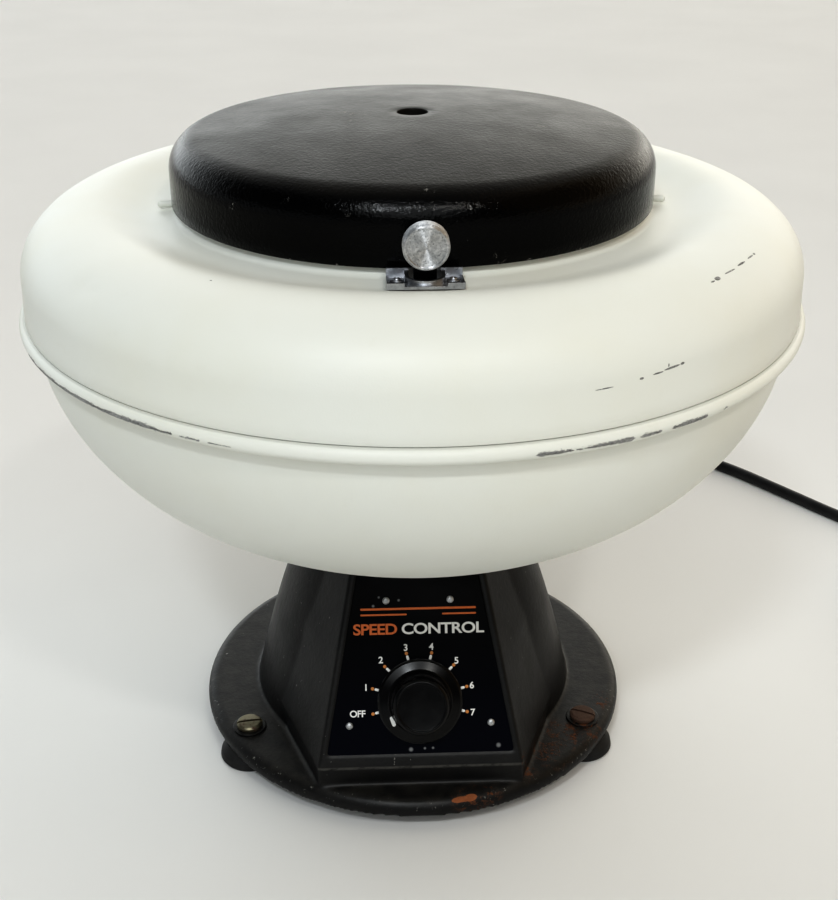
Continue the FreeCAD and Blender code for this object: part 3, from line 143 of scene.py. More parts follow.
# Mains cord, in metres
CORD_DIAMETER = 0.0078
CORD_ROUTE = [
    (0.000, 0.122, 0.034),
    (0.000, 0.150, 0.034),
    (0.001, 0.181, 0.018),
    (0.006, 0.214, 0.004),
    (0.022, 0.249, 0.004),
    (0.052, 0.282, 0.004),
    (0.098, 0.307, 0.004),
    (0.150, 0.312, 0.004),
    (0.200, 0.297, 0.004),
    (0.243, 0.2625, 0.004),
    (0.276, 0.2195, 0.004),
    (0.306, 0.179, 0.004),
    (0.339, 0.1435, 0.004),
]
TAIL_ROUTE = [
    (0.3841, 0.057, 0.0108),
    (0.381, 0.033, 0.012),
    (0.376, 0.010, 0.012),
]
COIL_CENTRE = (0.338, 0.080)
COIL_MID_R = 0.042
COIL_PITCH = 0.0082
COIL_FLOOR_Z = 0.004
COIL_POINTS_PER_TURN = 16


# Mesh helpers


def polar(radius, degrees, centre=(0.0, 0.0)):
    angle = math.radians(degrees)
    return (centre[0] + radius * math.cos(angle), centre[1] + radius * math.sin(angle))


def arc(radius, start, end, centre, steps=8):
    """Points on an arc in the (radius, height) plane, angles in degrees from the outward direction."""
    return [polar(radius, start + (end - start) * i / steps, centre) for i in range(steps + 1)]


def at_azimuth(radius, degrees):
    angle = math.radians(degrees)
    return radius * math.sin(angle), -radius * math.cos(angle)


def offset(points, distance):
    """Points moved sideways by distance, to the left of the way they run."""
    moved = []
    for i, (r, z) in enumerate(points):
        before = points[max(i - 1, 0)]
        after = points[min(i + 1, len(points) - 1)]
        run = (after[0] - before[0], after[1] - before[1])
        length = math.hypot(*run)
        moved.append((r - run[1] / length * distance, z + run[0] / length * distance))
    return moved


def rounded(corners, steps=4):
    """Closed outline of (r, z, fillet radius) corners with each corner rounded."""
    points = []
    count = len(corners)
    for i, (r, z, fillet) in enumerate(corners):
        here = Vector((r, z))
        before = Vector(corners[i - 1][:2]) - here
        after = Vector(corners[(i + 1) % count][:2]) - here
        if fillet <= 0.0:
            points.append((r, z))
            continue
        half = before.angle(after) / 2.0
        reach = min(fillet / math.tan(half), before.length * 0.49, after.length * 0.49)
        start = here + before.normalized() * reach
        end = here + after.normalized() * reach
        for k in range(steps + 1):
            t = k / steps
            p = start.lerp(here, t).lerp(here.lerp(end, t), t)
            points.append((p.x, p.y))
    return points


def linked(name, data):
    """New object in the scene."""
    made = bpy.data.objects.new(name, data)
    bpy.context.scene.collection.objects.link(made)
    return made


def mesh_of(name, builder):
    """Mesh made from a bmesh, which is freed."""
    mesh = bpy.data.meshes.new(name)
    builder.to_mesh(mesh)
    builder.free()
    return mesh


def finish_mesh(name, mesh_builder, body, material, sharp=35.0, matrix=None):
    """Makes an object from a bmesh in millimetres and rides it on a body."""
    mesh_builder.normal_update()
    bmesh.ops.recalc_face_normals(mesh_builder, faces=mesh_builder.faces)
    mesh = mesh_of(name, mesh_builder)
    mesh.transform(Matrix.Scale(MM, 4))
    mesh.shade_smooth()
    mesh.set_sharp_from_angle(angle=math.radians(sharp))
    mesh.materials.append(material)
    piece = linked(name, mesh)
    if matrix is not None:
        piece.matrix_world = matrix
    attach(piece, body)
    return piece


def revolve(outline, steps=96, centre=(0.0, 0.0), wobble=None):
    """bmesh of a closed outline of (radius, height) turned about Z; points on the axis become one vertex."""
    bm = bmesh.new()
    rings = []
    for r, z in outline:
        if abs(r) < 1e-6:
            rings.append([bm.verts.new((centre[0], centre[1], z))] * steps)
            continue
        ring = []
        for k in range(steps):
            angle = 2.0 * math.pi * k / steps
            radius, height = (r, z) if wobble is None else wobble(r, z, angle)
            ring.append(bm.verts.new((centre[0] + radius * math.cos(angle),
                    centre[1] + radius * math.sin(angle), height)))
        rings.append(ring)
    for i, ring in enumerate(rings):
        following = rings[(i + 1) % len(rings)]
        for k in range(steps):
            corners = [ring[k], ring[(k + 1) % steps], following[(k + 1) % steps], following[k]]
            distinct = list(dict.fromkeys(corners))
            if len(distinct) > 2:
                bm.faces.new(distinct)
    return bm


def lathe(name, outline, body, material, steps=96, sharp=35.0, centre=(0.0, 0.0), matrix=None, wobble=None):
    return finish_mesh(name, revolve(outline, steps, centre, wobble), body, material, sharp, matrix)


def panel_matrix():
    """From the dial's own frame, in millimetres scaled to metres, to the row frame."""
    return Matrix.Translation((0.0, DIAL_Y * MM,
            DIAL_Z * MM)) @ Matrix.Rotation(math.radians(90.0 - PANEL_SLOPE), 4, "X")


# Material helpers


class Shader:
    """A node material with short names for the nodes that these surfaces need. Methods return sockets."""

    def __init__(self, name):
        self.material = bpy.data.materials.new(name)
        self.material.use_nodes = True
        self.tree = self.material.node_tree
        self.tree.nodes.clear()
        self.surface = self.node("ShaderNodeBsdfPrincipled")
        output = self.node("ShaderNodeOutputMaterial")
        self.tree.links.new(self.surface.outputs["BSDF"], output.inputs["Surface"])
        self.place = self.node("ShaderNodeTexCoord").outputs["Object"]
        self.normal = None

    def node(self, kind, **settings):
        made = self.tree.nodes.new(kind)
        for key, value in settings.items():
            setattr(made, key, value)
        return made

    def plug(self, socket, value):
        if isinstance(value, bpy.types.NodeSocket):
            self.tree.links.new(value, socket)
        elif isinstance(value, (tuple, list)) and len(value) == 3 and socket.type == "RGBA":
            socket.default_value = (*value, 1.0)
        else:
            socket.default_value = value

    def math(self, operation, a, b=0.0, clamp=False):
        made = self.node("ShaderNodeMath", operation=operation, use_clamp=clamp)
        self.plug(made.inputs[0], a)
        self.plug(made.inputs[1], b)
        return made.outputs[0]

    def add(self, a, b):
        return self.math("ADD", a, b)

    def times(self, *values):
        whole = values[0]
        for value in values[1:]:
            whole = self.math("MULTIPLY", whole, value)
        return whole

    def step(self, value, low, high):
        """0 below low and 1 above high, smooth between; low may be above high."""
        made = self.node("ShaderNodeMapRange", interpolation_type="SMOOTHSTEP")
        if low < high:
            limits = (low, high, 0.0, 1.0)
        else:
            limits = (high, low, 1.0, 0.0)
        self.plug(made.inputs[0], value)
        for i, limit in enumerate(limits):
            made.inputs[i + 1].default_value = limit
        return made.outputs[0]

    def between(self, value, low, high, soft):
        return self.times(self.step(value, low - soft, low + soft), self.step(value, high + soft,
                high - soft))

    def axes(self):
        """x, y and z of the surface point, in millimetres."""
        made = self.node("ShaderNodeSeparateXYZ")
        self.plug(made.inputs[0], self.place)
        return [self.math("MULTIPLY", made.outputs[i], 1.0 / MM) for i in range(3)]

    def azimuth(self):
        x, y, _ = self.axes()
        return self.times(self.math("ARCTAN2", x, self.times(y, -1.0)), 180.0 / math.pi)

    def radius(self):
        x, y, _ = self.axes()
        return self.math("SQRT", self.add(self.times(x, x), self.times(y, y)))

    def unrolled(self, radius_mm):
        """Where the point is on a cylinder rolled out flat, as a vector in metres."""
        made = self.node("ShaderNodeCombineXYZ")
        self.plug(made.inputs[0], self.times(self.azimuth(), radius_mm * MM * math.pi / 180.0))
        self.plug(made.inputs[1], self.times(self.axes()[2], MM))
        return made.outputs[0]

    def streak(self, degrees, radius, height, length, width, tilt=0.0):
        """1 in a thin mark that runs round the axis, tilted from level by degrees; half sizes, in mm."""
        x, y = at_azimuth(radius, degrees)
        angle = math.radians(degrees)
        slope = math.radians(tilt)
        away = self.node("ShaderNodeVectorMath", operation="SUBTRACT")
        self.plug(away.inputs[0], self.place)
        away.inputs[1].default_value = (x * MM, y * MM, height * MM)
        dot = self.node("ShaderNodeVectorMath", operation="DOT_PRODUCT")
        self.plug(dot.inputs[0], away.outputs[0])
        dot.inputs[1].default_value = (math.cos(angle) * math.cos(slope), math.sin(angle) * math.cos(slope),
                math.sin(slope))
        size = self.node("ShaderNodeVectorMath", operation="LENGTH")
        self.plug(size.inputs[0], away.outputs[0])
        along = self.times(dot.outputs["Value"], 1.0 / MM)
        distance = self.times(size.outputs["Value"], 1.0 / MM)
        across = self.add(self.times(distance, distance), self.times(along, along, -1.0))
        reach = self.add(self.times(along, along, 1.0 / length ** 2), self.times(across, 1.0 / width ** 2))
        return self.step(reach, 1.4, 0.5)

    def noise(self, size_mm, detail=4.0, roughness=0.55, stretch=(1.0, 1.0, 1.0), seed=0.0, place=None):
        """Noise from 0 to 1 with features of about size_mm."""
        mapping = self.node("ShaderNodeMapping")
        self.plug(mapping.inputs["Vector"], self.place if place is None else place)
        mapping.inputs["Location"].default_value = (seed, seed * 0.7, seed * 1.3)
        mapping.inputs["Scale"].default_value = stretch
        made = self.node("ShaderNodeTexNoise")
        self.plug(made.inputs["Vector"], mapping.outputs[0])
        made.inputs["Scale"].default_value = 1.0 / (size_mm * MM)
        made.inputs["Detail"].default_value = detail
        made.inputs["Roughness"].default_value = roughness
        return made.outputs["Fac"]

    def near(self, point, size):
        """1 within about size millimetres of a point, falling to 0 at twice that."""
        made = self.node("ShaderNodeVectorMath", operation="DISTANCE")
        self.plug(made.inputs[0], self.place)
        made.inputs[1].default_value = [value * MM for value in point]
        return self.step(made.outputs["Value"], 2.0 * size * MM, 0.5 * size * MM)

    def most(self, *masks):
        whole = masks[0]
        for mask in masks[1:]:
            whole = self.math("MAXIMUM", whole, mask)
        return whole

    def mix(self, share, a, b):
        made = self.node("ShaderNodeMix", data_type="RGBA")
        self.plug(made.inputs[0], share)
        self.plug(made.inputs[6], a)
        self.plug(made.inputs[7], b)
        return made.outputs[2]

    def blend(self, share, a, b):
        made = self.node("ShaderNodeMix", data_type="FLOAT")
        self.plug(made.inputs[0], share)
        self.plug(made.inputs[2], a)
        self.plug(made.inputs[3], b)
        return made.outputs[0]

    def bump(self, height, depth_mm, strength=1.0):
        """Adds relief of about depth_mm for a height from 0 to 1."""
        made = self.node("ShaderNodeBump")
        made.inputs["Strength"].default_value = strength
        made.inputs["Distance"].default_value = depth_mm * MM
        self.plug(made.inputs["Height"], height)
        if self.normal is not None:
            self.plug(made.inputs["Normal"], self.normal)
        self.normal = made.outputs["Normal"]

    def done(self, color, roughness, metallic=0.0, specular=0.5, anisotropic=0.0):
        s = self.surface.inputs
        self.plug(s["Base Color"], color)
        self.plug(s["Roughness"], roughness)
        self.plug(s["Metallic"], metallic)
        s["Specular IOR Level"].default_value = specular
        s["Anisotropic"].default_value = anisotropic
        if self.normal is not None:
            self.plug(s["Normal"], self.normal)
        return self.material


# Paints and metals

CREAM = (0.775, 0.790, 0.745)
CREAM_AGED = (0.730, 0.720, 0.610)
BARE_DARK = (0.11, 0.113, 0.11)
BARE_LIGHT = (0.42, 0.425, 0.42)
SHELL_CHIPS = [(43.9, 165.4, 284.4, 2.21, 1.08), (42.6, 165.8, 284.2, 1.7, 0.43), (47.5, 165.0, 284.7, 5.1,
        0.4),
               (51.3, 164.6, 285.0, 3.82, 0.54), (54.8, 164.4, 285.1, 3.4, 0.43), (56.4, 164.4, 285.1, 1.02,
                       0.65),
               (30.2, 180.4, 262.8, 4.25, 0.54, 4.0), (28.0, 180.4, 262.0, 2.89, 0.4, 2.0), (29.6, 180.0,
                       264.0, 0.42, 0.94),
               (31.8, 180.3, 263.2, 1.19, 0.65), (25.6, 180.4, 261.4, 1.1, 0.58), (20.5, 180.5, 260.4, 4.25,
                       0.29, 1.0),
               (55.0, 176.9, 273.0, 0.68, 0.58), (-33.0, 150.0, 288.9, 0.59, 0.5), (12.0, 130.0, 285.0,
                       0.51, 0.43)]
BOWL_SPECKS = [(13.8, 181.0, 230.0, 0.9, 0.6), (15.6, 181.0, 232.0, 1.3, 0.6, 10.0), (18.7, 181.0, 231.0,
        0.8, 0.5)]
RIM_WEAR = [(-66.0, -31.5, 1.0), (-31.0, -27.6, 0.72), (-26.8, -23.4, 0.76), (11.8, 24.5, 0.95), (25.4,
        28.6, 0.9),
            (30.0, 36.2, 0.95), (38.6, 40.2, 0.85), (146.0, 158.0, 0.85), (-128.0, -119.0, 0.8)]
RIM_WEAR_Z = 239.2


def cream_paint():
    """Off-white baked enamel over steel, finely textured, chipped along the rolled rim and at a few spots."""
    s = Shader("cream_paint")
    z = s.axes()[2]
    azimuth = s.azimuth()
    ragged = s.noise(1.5, 6.0, 0.72, seed=3.1)
    fine_ragged = s.noise(0.8, 5.0, 0.7, seed=8.4)
    marks = s.most(*[s.streak(*chip) for chip in SHELL_CHIPS + BOWL_SPECKS])
    spot = s.step(s.add(s.add(marks, s.times(ragged, 1.2)), s.times(fine_ragged, 0.9)), 1.82, 1.90)
    around = s.unrolled(RIM_R)
    streaks = s.noise(5.0, 6.0, 0.74, stretch=(0.22, 1.0, 1.0), seed=1.7, place=around)
    outside = s.step(s.radius(), RIM_R - 2.6, RIM_R - 1.4)
    off_line = s.math("ABSOLUTE", s.add(z, -RIM_WEAR_Z))
    along = s.most(*[s.times(s.between(azimuth, start, end, 0.5), amount) for start, end, amount in RIM_WEAR])
    breaks = s.add(s.times(s.add(streaks, -0.5), 2.0), s.times(s.add(fine_ragged, -0.5), 1.5))
    worn = s.add(s.add(along, s.times(off_line, -0.50)), breaks)
    rim_chip = s.times(outside, s.step(worn, 0.50, 0.60), s.step(along, 0.05, 0.3))
    stray = s.times(outside, s.between(z, RIM_Z - 2.5, RIM_Z + 1.0, 0.5), s.step(s.noise(2.6, 4.0, 0.7,
            seed=21.0), 0.745, 0.76))
    chip = s.most(spot, rim_chip, stray)
    clouding = s.noise(70.0, 3.0, 0.5, seed=5.0)
    aged = s.times(s.step(clouding, 0.35, 0.8), 0.35)
    grime = s.times(s.step(s.noise(14.0, 6.0, 0.7, seed=11.0), 0.60, 0.85), 0.13)
    # Painted shade: a darker band along the shell's foot, where it laps over the bowl's rim.
    seam_shade = s.times(s.between(z, SHELL_FOOT_Z - 0.6, SHELL_FOOT_Z + 0.1, 0.2), 0.22)
    paint = s.mix(aged, CREAM, CREAM_AGED)
    paint = s.mix(grime, paint, (0.56, 0.54, 0.45))
    paint = s.mix(seam_shade, paint, (0.16, 0.155, 0.14))
    metal = s.mix(s.step(s.add(s.times(fine_ragged, 0.6), s.times(streaks, 0.4)), 0.42, 0.60), BARE_DARK,
            BARE_LIGHT)
    s.bump(s.noise(0.9, 3.0, 0.6, seed=2.0), 0.05, 0.7)
    s.bump(s.noise(6.0, 2.0, 0.5, seed=9.0), 0.05, 0.5)
    s.bump(s.math("SUBTRACT", 1.0, chip), 0.12, 0.8)
    rough = s.blend(chip, s.add(0.40, s.times(s.noise(20.0, 3.0, seed=4.0), 0.14)), 0.55)
    return s.done(s.mix(chip, paint, metal), rough, s.times(chip, 0.35), specular=0.42)


LID_SCUFFS = [(-94.0, 28.5, 324.4, 3.4), (-80.0, 24.0, 324.5, 2.0), (-62.0, 31.0, 324.2, 1.6), (1.5, 103.0,
        316.6, 1.6),
              (-15.5, 110.5, 309.0, 0.9), (15.8, 111.4, 290.8, 1.8), (9.3, 111.4, 298.4, 0.7),
              (-43.4, 111.2, 305.2, 1.2), (-30.0, 109.0, 311.4, 1.4), (70.0, 60.0, 322.6, 1.6), (-140.0,
                      80.0, 320.6, 2.4)]


def black_enamel():
    """Black enamel with orange peel, scuffed to primer at a few spots and nicked along the lower edge."""
    s = Shader("black_enamel")
    z = s.axes()[2]
    ragged = s.noise(2.2, 6.0, 0.75, seed=6.6)
    spots = []
    for degrees, radius, height, size in LID_SCUFFS:
        px, py = at_azimuth(radius, degrees)
        spots.append(s.near((px, py, height), size))
    scuff = s.times(s.most(*spots), s.step(ragged, 0.55, 0.60))
    edge = s.times(s.between(z, LID_BOTTOM_Z - 1.0, LID_BOTTOM_Z + 0.8, 0.4), s.step(s.noise(5.0, 5.0, 0.7,
            seed=12.0), 0.60, 0.64))
    top = s.step(z, 313.0, 318.5)
    dust = s.times(top, s.step(s.noise(38.0, 5.0, 0.62, stretch=(0.6, 1.0, 1.0), seed=14.0), 0.30, 0.85))
    # The top is painted lighter and browner than the near-black side wall: partly dust, partly a painted
    # sheen of the light that the top reflects.
    color = s.mix(top, (0.0012, 0.0012, 0.0014), (0.0095, 0.0088, 0.0078))
    color = s.mix(s.times(dust, 0.5), color, (0.034, 0.031, 0.027))
    color = s.mix(s.most(scuff, edge), color, (0.19, 0.185, 0.17))
    s.bump(s.noise(2.1, 3.0, 0.6, seed=7.0), 0.20, 1.0)
    s.bump(s.noise(1.1, 2.0, 0.5, seed=17.0), 0.16, 1.0)
    s.bump(s.math("SUBTRACT", 1.0, s.most(scuff, edge)), 0.08, 0.7)
    worn = s.noise(26.0, 4.0, 0.6, seed=15.0)
    rough = s.blend(top, s.add(0.06, s.times(worn, 0.05)), s.add(0.28, s.times(worn, 0.22)))
    rough = s.blend(s.most(scuff, edge), rough, 0.6)
    return s.done(color, rough, specular=0.15)


RUST_SPOTS = [((24.0, -110.0, 17.0), 6.0), ((34.0, -106.5, 18.0), 4.0), ((76.0, -64.0, 18.2), 8.0), ((66.0,
        -78.0, 18.2), 7.0),
              ((90.0, -60.0, 18.2), 6.0), ((52.0, -92.0, 18.6), 4.0), ((52.0, -95.0, 27.0), 3.0), ((98.0,
                      -36.0, 18.2), 5.0)]
BARE_STREAKS = [(9.8, 112.0, 17.6, 6.4, 2.0), (12.4, 111.6, 17.6, 4.0, 2.2, 4.0)]


def black_casting():
    """Satin black paint over cast iron, dusty on its upward faces, worn and rusted round the right front."""
    s = Shader("black_casting")
    x, y, z = s.axes()
    ragged = s.noise(4.2, 7.0, 0.72, seed=31.0)
    fine = s.noise(1.3, 5.0, 0.7, seed=33.0)
    rust_area = s.most(*[s.near(point, size) for point, size in RUST_SPOTS])
    rust = s.times(rust_area, s.step(s.add(s.times(ragged, 0.6), s.times(fine, 0.4)), 0.50, 0.58))
    bare = s.step(s.add(s.most(*[s.streak(*mark) for mark in BARE_STREAKS]), s.times(ragged, 1.4)), 1.30,
            1.45)
    radius = s.radius()
    rim = s.times(s.between(radius, 109.6, 113.9, 0.7), s.between(z, 13.6, 18.4, 0.8))
    nicks = s.times(rim, s.step(s.noise(2.4, 5.0, 0.72, seed=35.0), 0.62, 0.66))
    kink = s.times(s.between(z, 27.5, 28.7, 0.4), s.step(y, -94.0, -96.5), s.between(x, -51.0, 51.0, 0.6))
    # Wear and painted highlight: a light, partly metallic band along the kink at the foot of the panel boss,
    # where the edge catches the light.
    kink_wear_and_highlight = s.times(kink, s.step(s.noise(3.5, 5.0, 0.7, stretch=(0.5, 1.0, 1.0), seed=37.0), 0.28, 0.56))
    specks = s.times(s.step(s.noise(2.0, 3.0, 0.5, seed=39.0), 0.735, 0.75), 0.9)
    geometry = s.node("ShaderNodeNewGeometry")
    facing = s.node("ShaderNodeSeparateXYZ")
    s.plug(facing.inputs[0], geometry.outputs["Normal"])
    dust = s.times(s.step(facing.outputs[2], 0.25, 0.95), s.step(s.noise(9.0, 6.0, 0.7, seed=41.0), 0.30,
            0.75))
    color = s.mix(s.step(s.noise(30.0, 4.0, seed=43.0), 0.3, 0.8), (0.0050, 0.0050, 0.0054), (0.0095,
            0.0090, 0.0086))
    color = s.mix(s.times(dust, 0.30), color, (0.060, 0.055, 0.046))
    color = s.mix(s.most(s.times(nicks, 0.8), s.times(kink_wear_and_highlight, 0.36), specks), color, (0.20, 0.195, 0.18))
    brown = s.mix(fine, (0.055, 0.021, 0.010), (0.16, 0.062, 0.026))
    color = s.mix(s.times(rust, 0.9), color, brown)
    color = s.mix(bare, color, s.mix(fine, (0.30, 0.120, 0.050), (0.17, 0.060, 0.028)))
    s.bump(s.noise(2.8, 4.0, 0.6, seed=45.0), 0.22, 0.7)
    s.bump(s.noise(0.8, 3.0, 0.6, seed=47.0), 0.07, 0.7)
    s.bump(s.times(rust, fine), 0.25, 0.6)
    rough = s.blend(s.most(rust, bare), s.add(0.30, s.times(s.noise(16.0, 4.0, seed=49.0), 0.22)), 0.82)
    return s.done(color, rough, s.times(kink_wear_and_highlight, 0.5), specular=0.30)


PANEL_MARKS = [((-4.8, -24.0, 0.0), 0.75), ((38.2, -23.0, 0.0), 0.8), ((-22.0, 46.6, 0.0), 0.5), ((-19.2,
        50.8, 0.0), 0.4),
               ((-9.5, 49.2, 0.0), 0.45), ((2.0, -23.6, 0.0), 0.45), ((6.0, -23.5, 0.0), 0.45)]


def panel_navy():
    """Screen-printed navy-black plate, satin, with light scratches, handling marks and a few chips."""
    s = Shader("panel_navy")
    y = s.axes()[1]
    lower = s.step(y, 50.0, -30.0)
    scratch = s.step(s.noise(5.0, 6.0, 0.8, stretch=(0.35, 2.4, 1.0), seed=51.0), 0.70, 0.74)
    scuff = s.step(s.noise(2.0, 4.0, 0.7, seed=53.0), 0.72, 0.76)
    marked = s.most(s.times(scratch, 0.35), s.times(scuff, 0.5))
    # Painted shade: the plate is painted near-black towards its top and shows its navy towards the lower
    # edge.
    color = s.mix(lower, (0.0007, 0.0008, 0.0011), (0.0012, 0.0019, 0.0062))
    color = s.mix(marked, color, (0.035, 0.035, 0.043))
    color = s.mix(s.most(*[s.near(point, size) for point, size in PANEL_MARKS]), color, (0.19, 0.195, 0.20))
    s.bump(s.noise(1.0, 3.0, seed=55.0), 0.015, 0.5)
    rough = s.add(0.24, s.times(s.noise(12.0, 5.0, 0.65, seed=57.0), 0.2))
    return s.done(color, rough, specular=0.09)


def print_ink(name, color):
    """Printed ink, slightly worn."""
    s = Shader(name)
    worn = s.step(s.noise(0.8, 4.0, 0.7, seed=61.0), 0.60, 0.72)
    s.bump(s.noise(0.5, 2.0, seed=62.0), 0.01, 0.4)
    return s.done(s.mix(s.times(worn, 0.6), color, [value * 0.35 for value in color]), 0.5)


def knob_black():
    """Moulded phenolic, glossy, with fine handling scratches."""
    s = Shader("knob_black")
    swirl = s.noise(1.6, 5.0, 0.7, stretch=(1.0, 1.0, 3.0), seed=63.0)
    radius = s.radius()
    edges = s.most(s.between(radius, 13.9, 14.3, 0.2), s.times(s.between(radius, 20.5, 21.2, 0.2), 0.6))
    # Painted highlight as well as wear: light thin rings on the drum's outer edge and the skirt's rim.
    edge_highlight_and_wear = s.times(edges, s.step(s.noise(6.0, 4.0, 0.6, seed=69.0), 0.36, 0.60))
    color = s.mix(s.step(swirl, 0.62, 0.78), (0.0010, 0.0010, 0.0014), (0.0070, 0.0070, 0.0085))
    color = s.mix(s.times(edge_highlight_and_wear, 0.6), color, (0.085, 0.085, 0.090))
    s.bump(s.noise(0.7, 3.0, seed=65.0), 0.012, 0.6)
    return s.done(color, s.add(0.14, s.times(s.noise(5.0, 4.0, seed=67.0), 0.18)), specular=0.30)


def aluminium_turned():
    """Turned aluminium face: fine rings, stained and finely pitted."""
    s = Shader("aluminium_turned")
    stain = s.noise(1.6, 6.0, 0.7, seed=71.0)
    pits = s.step(s.noise(0.8, 4.0, 0.6, seed=73.0), 0.56, 0.66)
    color = s.mix(s.step(stain, 0.30, 0.75), (0.40, 0.41, 0.425), (0.74, 0.745, 0.755))
    color = s.mix(s.times(pits, 0.7), color, (0.22, 0.225, 0.235))
    s.bump(s.math("SINE", s.times(s.radius(), 2.0 * math.pi / 0.9)), 0.02, 0.6)
    s.bump(pits, 0.05, 0.7)
    tangent = s.node("ShaderNodeTangent", direction_type="RADIAL", axis="Z")
    s.plug(s.surface.inputs["Tangent"], tangent.outputs[0])
    s.surface.inputs["Anisotropic Rotation"].default_value = 0.25
    return s.done(color, s.add(0.34, s.times(stain, 0.14)), 1.0, anisotropic=0.95)


def scratched_metal(name, light, dark, rough, stretch=(1.0, 1.0, 1.0), pit=0.4, depth=0.02):
    """Plain metal with a clouded tone, short scratches and pits."""
    s = Shader(name)
    cloud = s.noise(9.0, 5.0, 0.65, seed=81.0)
    scratch = s.noise(2.2, 6.0, 0.75, stretch=stretch, seed=83.0)
    pits = s.step(s.noise(1.1, 4.0, 0.65, seed=85.0), 0.60, 0.70)
    color = s.mix(s.step(cloud, 0.3, 0.75), light, dark)
    color = s.mix(s.times(pits, pit), color, [value * 0.45 for value in dark])
    s.bump(scratch, depth, 0.6)
    s.bump(pits, 0.03, 0.4)
    return s.done(color, s.add(rough, s.times(scratch, 0.22)), 1.0)


def steel_worn():
    """Old plated steel screw heads: yellowed plating on the left, brown rust on the right."""
    s = Shader("steel_worn")
    x, _, _ = s.axes()
    patchy = s.noise(2.6, 6.0, 0.7, seed=91.0)
    fine = s.noise(0.8, 4.0, 0.7, seed=93.0)
    rusty = s.most(s.step(x, 20.0, 60.0), s.step(patchy, 0.56, 0.66))
    plated = s.mix(patchy, (0.24, 0.22, 0.155), (0.07, 0.063, 0.045))
    brown = s.mix(fine, (0.032, 0.018, 0.013), (0.115, 0.066, 0.044))
    s.bump(patchy, 0.12, 0.7)
    s.bump(fine, 0.06, 0.7)
    return s.done(s.mix(rusty, plated, brown), s.blend(rusty, 0.42, 0.8), s.blend(rusty, 0.9, 0.1))


def rubber(name, color, rough, grain=0.8, depth=0.03):
    """Black rubber, dusty and finely grained."""
    s = Shader(name)
    dusty = s.step(s.noise(7.0, 5.0, 0.65, seed=95.0), 0.35, 0.8)
    s.bump(s.noise(grain, 4.0, 0.6, seed=97.0), depth, 0.6)
    bright = [min(value * 2.6 + 0.006, 1.0) for value in color]
    return s.done(s.mix(s.times(dusty, 0.5), color, bright), s.add(rough, s.times(dusty, 0.14)), specular=0.4)


def wound_wire():
    """Enamelled copper wire laid in turns."""
    s = Shader("copper_wire")
    _, _, z = s.axes()
    turns = s.math("SINE", s.times(s.add(z, s.times(s.noise(4.0, 2.0, seed=99.0), 1.2)), 2.0 * math.pi / 0.9))
    s.bump(turns, 0.25, 0.8)
    color = s.mix(s.step(turns, -0.9, 0.4), (0.16, 0.045, 0.012), (0.58, 0.20, 0.065))
    return s.done(color, 0.32, 0.75)


def stacked_sheets():
    """Edges of stacked steel laminations."""
    s = Shader("laminations")
    _, _, z = s.axes()
    layers = s.math("SINE", s.times(z, 2.0 * math.pi / 0.7))
    s.bump(layers, 0.12, 0.6)
    tone = s.noise(3.0, 5.0, 0.7, seed=101.0)
    return s.done(s.mix(tone, (0.10, 0.10, 0.105), (0.27, 0.27, 0.28)), s.add(0.40, s.times(tone, 0.2)), 0.85)


def fired_clay():
    s = Shader("ceramic")
    speckle = s.step(s.noise(0.9, 4.0, 0.6, seed=103.0), 0.55, 0.7)
    s.bump(s.noise(0.8, 4.0, 0.6, seed=105.0), 0.05, 0.6)
    return s.done(s.mix(speckle, (0.60, 0.56, 0.47), (0.42, 0.38, 0.31)), 0.72)


def carbon():
    s = Shader("carbon")
    s.bump(s.noise(0.6, 4.0, 0.6, seed=107.0), 0.03, 0.6)
    return s.done(s.mix(s.noise(1.5, 4.0, seed=109.0), (0.02, 0.02, 0.02), (0.05, 0.05, 0.052)), 0.5, 0.1)


def floor_surface():
    s = Shader("floor_surface")
    s.bump(s.noise(3.0, 4.0, 0.6, seed=111.0), 0.03, 0.3)
    tone = s.step(s.noise(240.0, 3.0, 0.5, seed=113.0), 0.2, 0.8)
    return s.done(s.mix(tone, (0.735, 0.735, 0.725), (0.765, 0.765, 0.755)), 0.55, specular=0.3)


